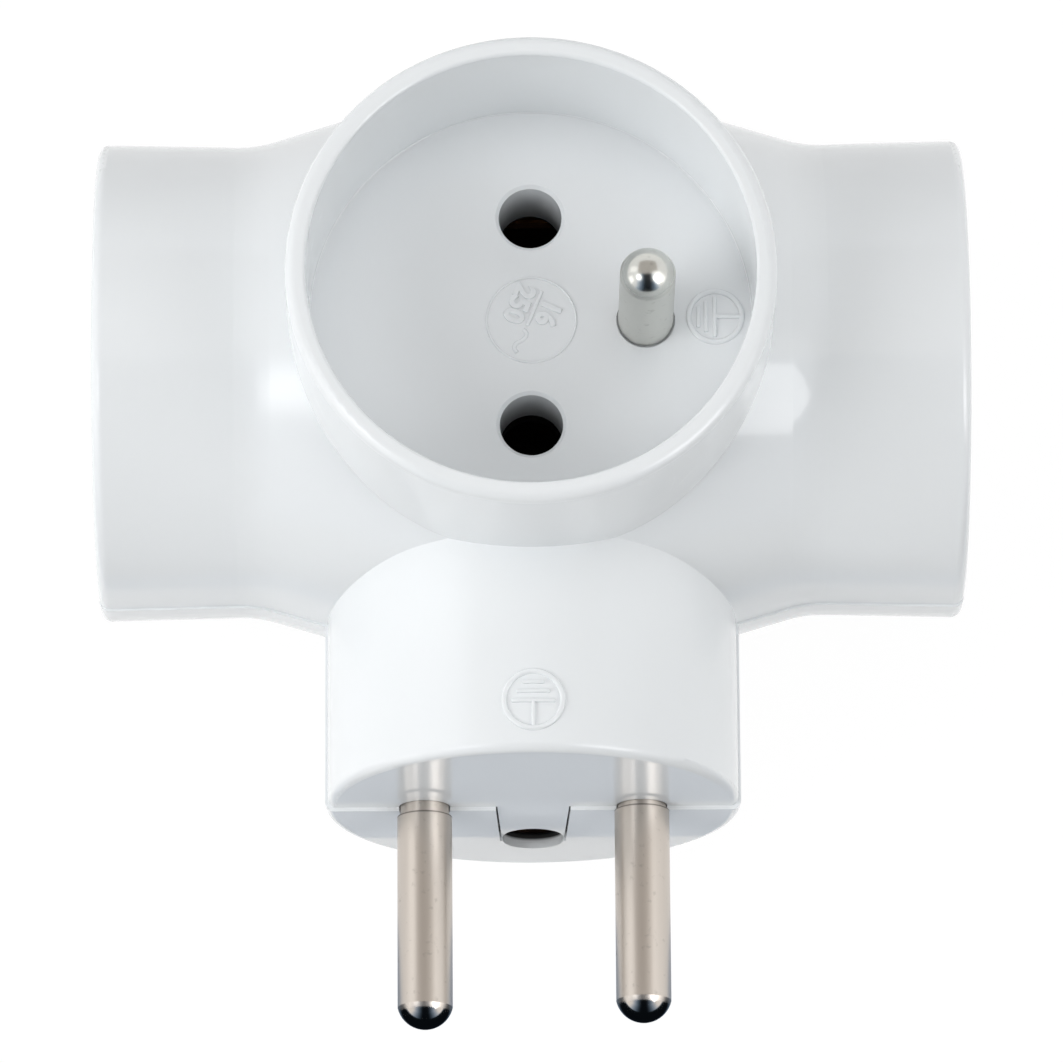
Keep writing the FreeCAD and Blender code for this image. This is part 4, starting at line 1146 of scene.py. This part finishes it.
SOFTBOXES = (
    Softbox("left_softbox", (-0.56, -0.27, 0.44), (0.42, 0.46), 2.5),
    Softbox("right_softbox", (0.54, -0.31, 0.45), (0.30, 0.36), 1.2),
    Softbox("overhead_fill", (0.0, 0.0, 0.85), (0.60, 0.60), 1.5),
    Softbox("left_fill", (-0.78, 0.0, 0.22), (0.30, 0.60), 1.3),
    Softbox("right_fill", (0.78, 0.0, 0.22), (0.30, 0.60), 0.6),
    Softbox("left_back_fill", (-0.50, 0.50, 0.30), (0.40, 0.40), 0.5),
    Softbox("right_back_fill", (0.50, 0.50, 0.30), (0.40, 0.40), 1.05),
    Softbox("left_glint", (-0.478, -0.252, 0.632), (0.48, 0.40), 2.2, Duty.GLINT, edge=0.8),
    Softbox("right_glint", (0.489, -0.317, 0.539), (0.31, 0.44), 1.35, Duty.GLINT),
    Softbox("left_pin_glint", (-0.72, 0.24, 0.47), (0.30, 0.50), 0.2, Duty.GLINT),
    Softbox("left_side_glint", (-0.80, -0.22, 0.22), (0.32, 0.32), 0.25, Duty.GLINT),
    Softbox("right_side_glint", (0.80, -0.22, 0.22), (0.32, 0.32), 0.12, Duty.GLINT),
    Softbox("right_glow", (0.45, -0.18, 0.49), (0.57, 0.88), 1.4, Duty.GLINT, edge=0.4),
)


@dataclass
class Studio:
    """Floor, lamps, world and camera, whose target and distance are in millimetres."""

    target: tuple[float, float, float] = (0.013, -14.081, 23.5)
    distance: float = 747.21
    tilt: float = math.radians(17.405)
    yaw: float = math.radians(0.254)
    roll: float = math.radians(-0.388)
    lens: float = 286.24
    sky: float = 0.25
    floor_shade: Colour = (0.80, 0.80, 0.80)

    def seen_directly(self, board: Board) -> bpy.types.NodeSocket:
        """Gives 1 to rays of the camera, of reflections and of clear bodies.

        Args:
            board: Where the nodes go.

        Returns:
            The mask.
        """
        path = board.add("LightPath").outputs
        either = board.maths("MAXIMUM", path["Is Camera Ray"], path["Is Glossy Ray"])
        return board.maths("MAXIMUM", either, path["Is Transmission Ray"])

    def build_world(self) -> None:
        """Makes a world that is white to look at and lights the object softly."""
        world = bpy.data.worlds.new("studio")
        bpy.context.scene.world = world
        world.use_nodes = True
        board = Board(world.node_tree)
        background = next(node for node in world.node_tree.nodes if node.type == "BACKGROUND")
        background.inputs["Color"].default_value = (1.0, 1.0, 1.0, 1.0)
        board.feed(background, Strength=board.span(self.seen_directly(board), self.sky, 1.0))

    def build_floor(self) -> None:
        """Makes the pale floor, which is white to look at and keeps a faint shadow."""
        shape = bmesh.new()
        bmesh.ops.create_grid(shape, x_segments=1, y_segments=1, size=3.0)
        floor = close_mesh(shape, "floor", smooth=False)
        material = bpy.data.materials.new("pale floor")
        material.use_nodes = True
        board = Board(material.node_tree)
        material.node_tree.nodes.clear()
        matt = board.feed(board.add("BsdfDiffuse"), Color=(*self.floor_shade, 1.0))
        white = board.feed(board.add("Emission"), Color=(1.0, 1.0, 1.0, 1.0), Strength=1.03)
        share = board.maths("MULTIPLY", self.seen_directly(board), 0.94)
        mix = board.feed(board.add("MixShader"), at0=share, at1=matt.outputs[0], at2=white.outputs[0])
        board.feed(board.add("OutputMaterial"), Surface=mix.outputs[0])
        floor.data.materials.append(material)

    def build_camera(self) -> None:
        """Sets the camera at the photograph's angle."""
        flat = math.cos(self.tilt)
        forward = Vector((math.sin(self.yaw) * flat, math.sin(self.tilt), -math.cos(self.yaw) * flat))
        level = Vector((math.cos(self.yaw), 0.0, math.sin(self.yaw)))
        over = level.cross(forward)
        right = math.cos(self.roll) * level + math.sin(self.roll) * over
        up = -math.sin(self.roll) * level + math.cos(self.roll) * over
        data = bpy.data.cameras.new("camera")
        data.sensor_width = 36.0
        data.lens = self.lens
        data.clip_start = 0.05
        data.clip_end = 20.0
        camera = bpy.data.objects.new("camera", data)
        bpy.context.collection.objects.link(camera)
        at = (Vector(self.target) - self.distance * forward) * MM
        frame_of_view = Matrix((right, up, -forward)).transposed().to_4x4()
        camera.matrix_world = Matrix.Translation(at) @ frame_of_view
        bpy.context.scene.camera = camera

    def build(self) -> None:
        """Builds the whole studio."""
        self.build_world()
        self.build_floor()
        DARK_ROOM.hang()
        GREY_CEILING.hang()
        for softbox in SOFTBOXES:
            softbox.hang()
        self.build_camera()
        bpy.context.scene.view_settings.view_transform = "Standard"


def clear_start_scene() -> None:
    """Removes what Blender's own start scene holds."""
    for name in ("Cube", "Light", "Camera"):
        item = bpy.data.objects.get(name)
        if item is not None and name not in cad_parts:
            bpy.data.objects.remove(item, do_unlink=True)


def main() -> None:
    """Builds the adapter's marks, dresses its CAD pieces and sets up the studio."""
    logging.basicConfig(level=logging.INFO, format="%(message)s")
    clear_start_scene()
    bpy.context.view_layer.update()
    patterns = Patterns()
    chosen = CadDress().dress(patterns)
    log.info("dressed %d CAD nodes", len(chosen))
    for piece in CaseMarks().build(chosen["front_shell"], chosen["front_socket_face"]):
        log.info("built %s with %d faces", piece.name, len(piece.data.polygons))
    Studio().build()


if __name__ == "__main__":
    main()
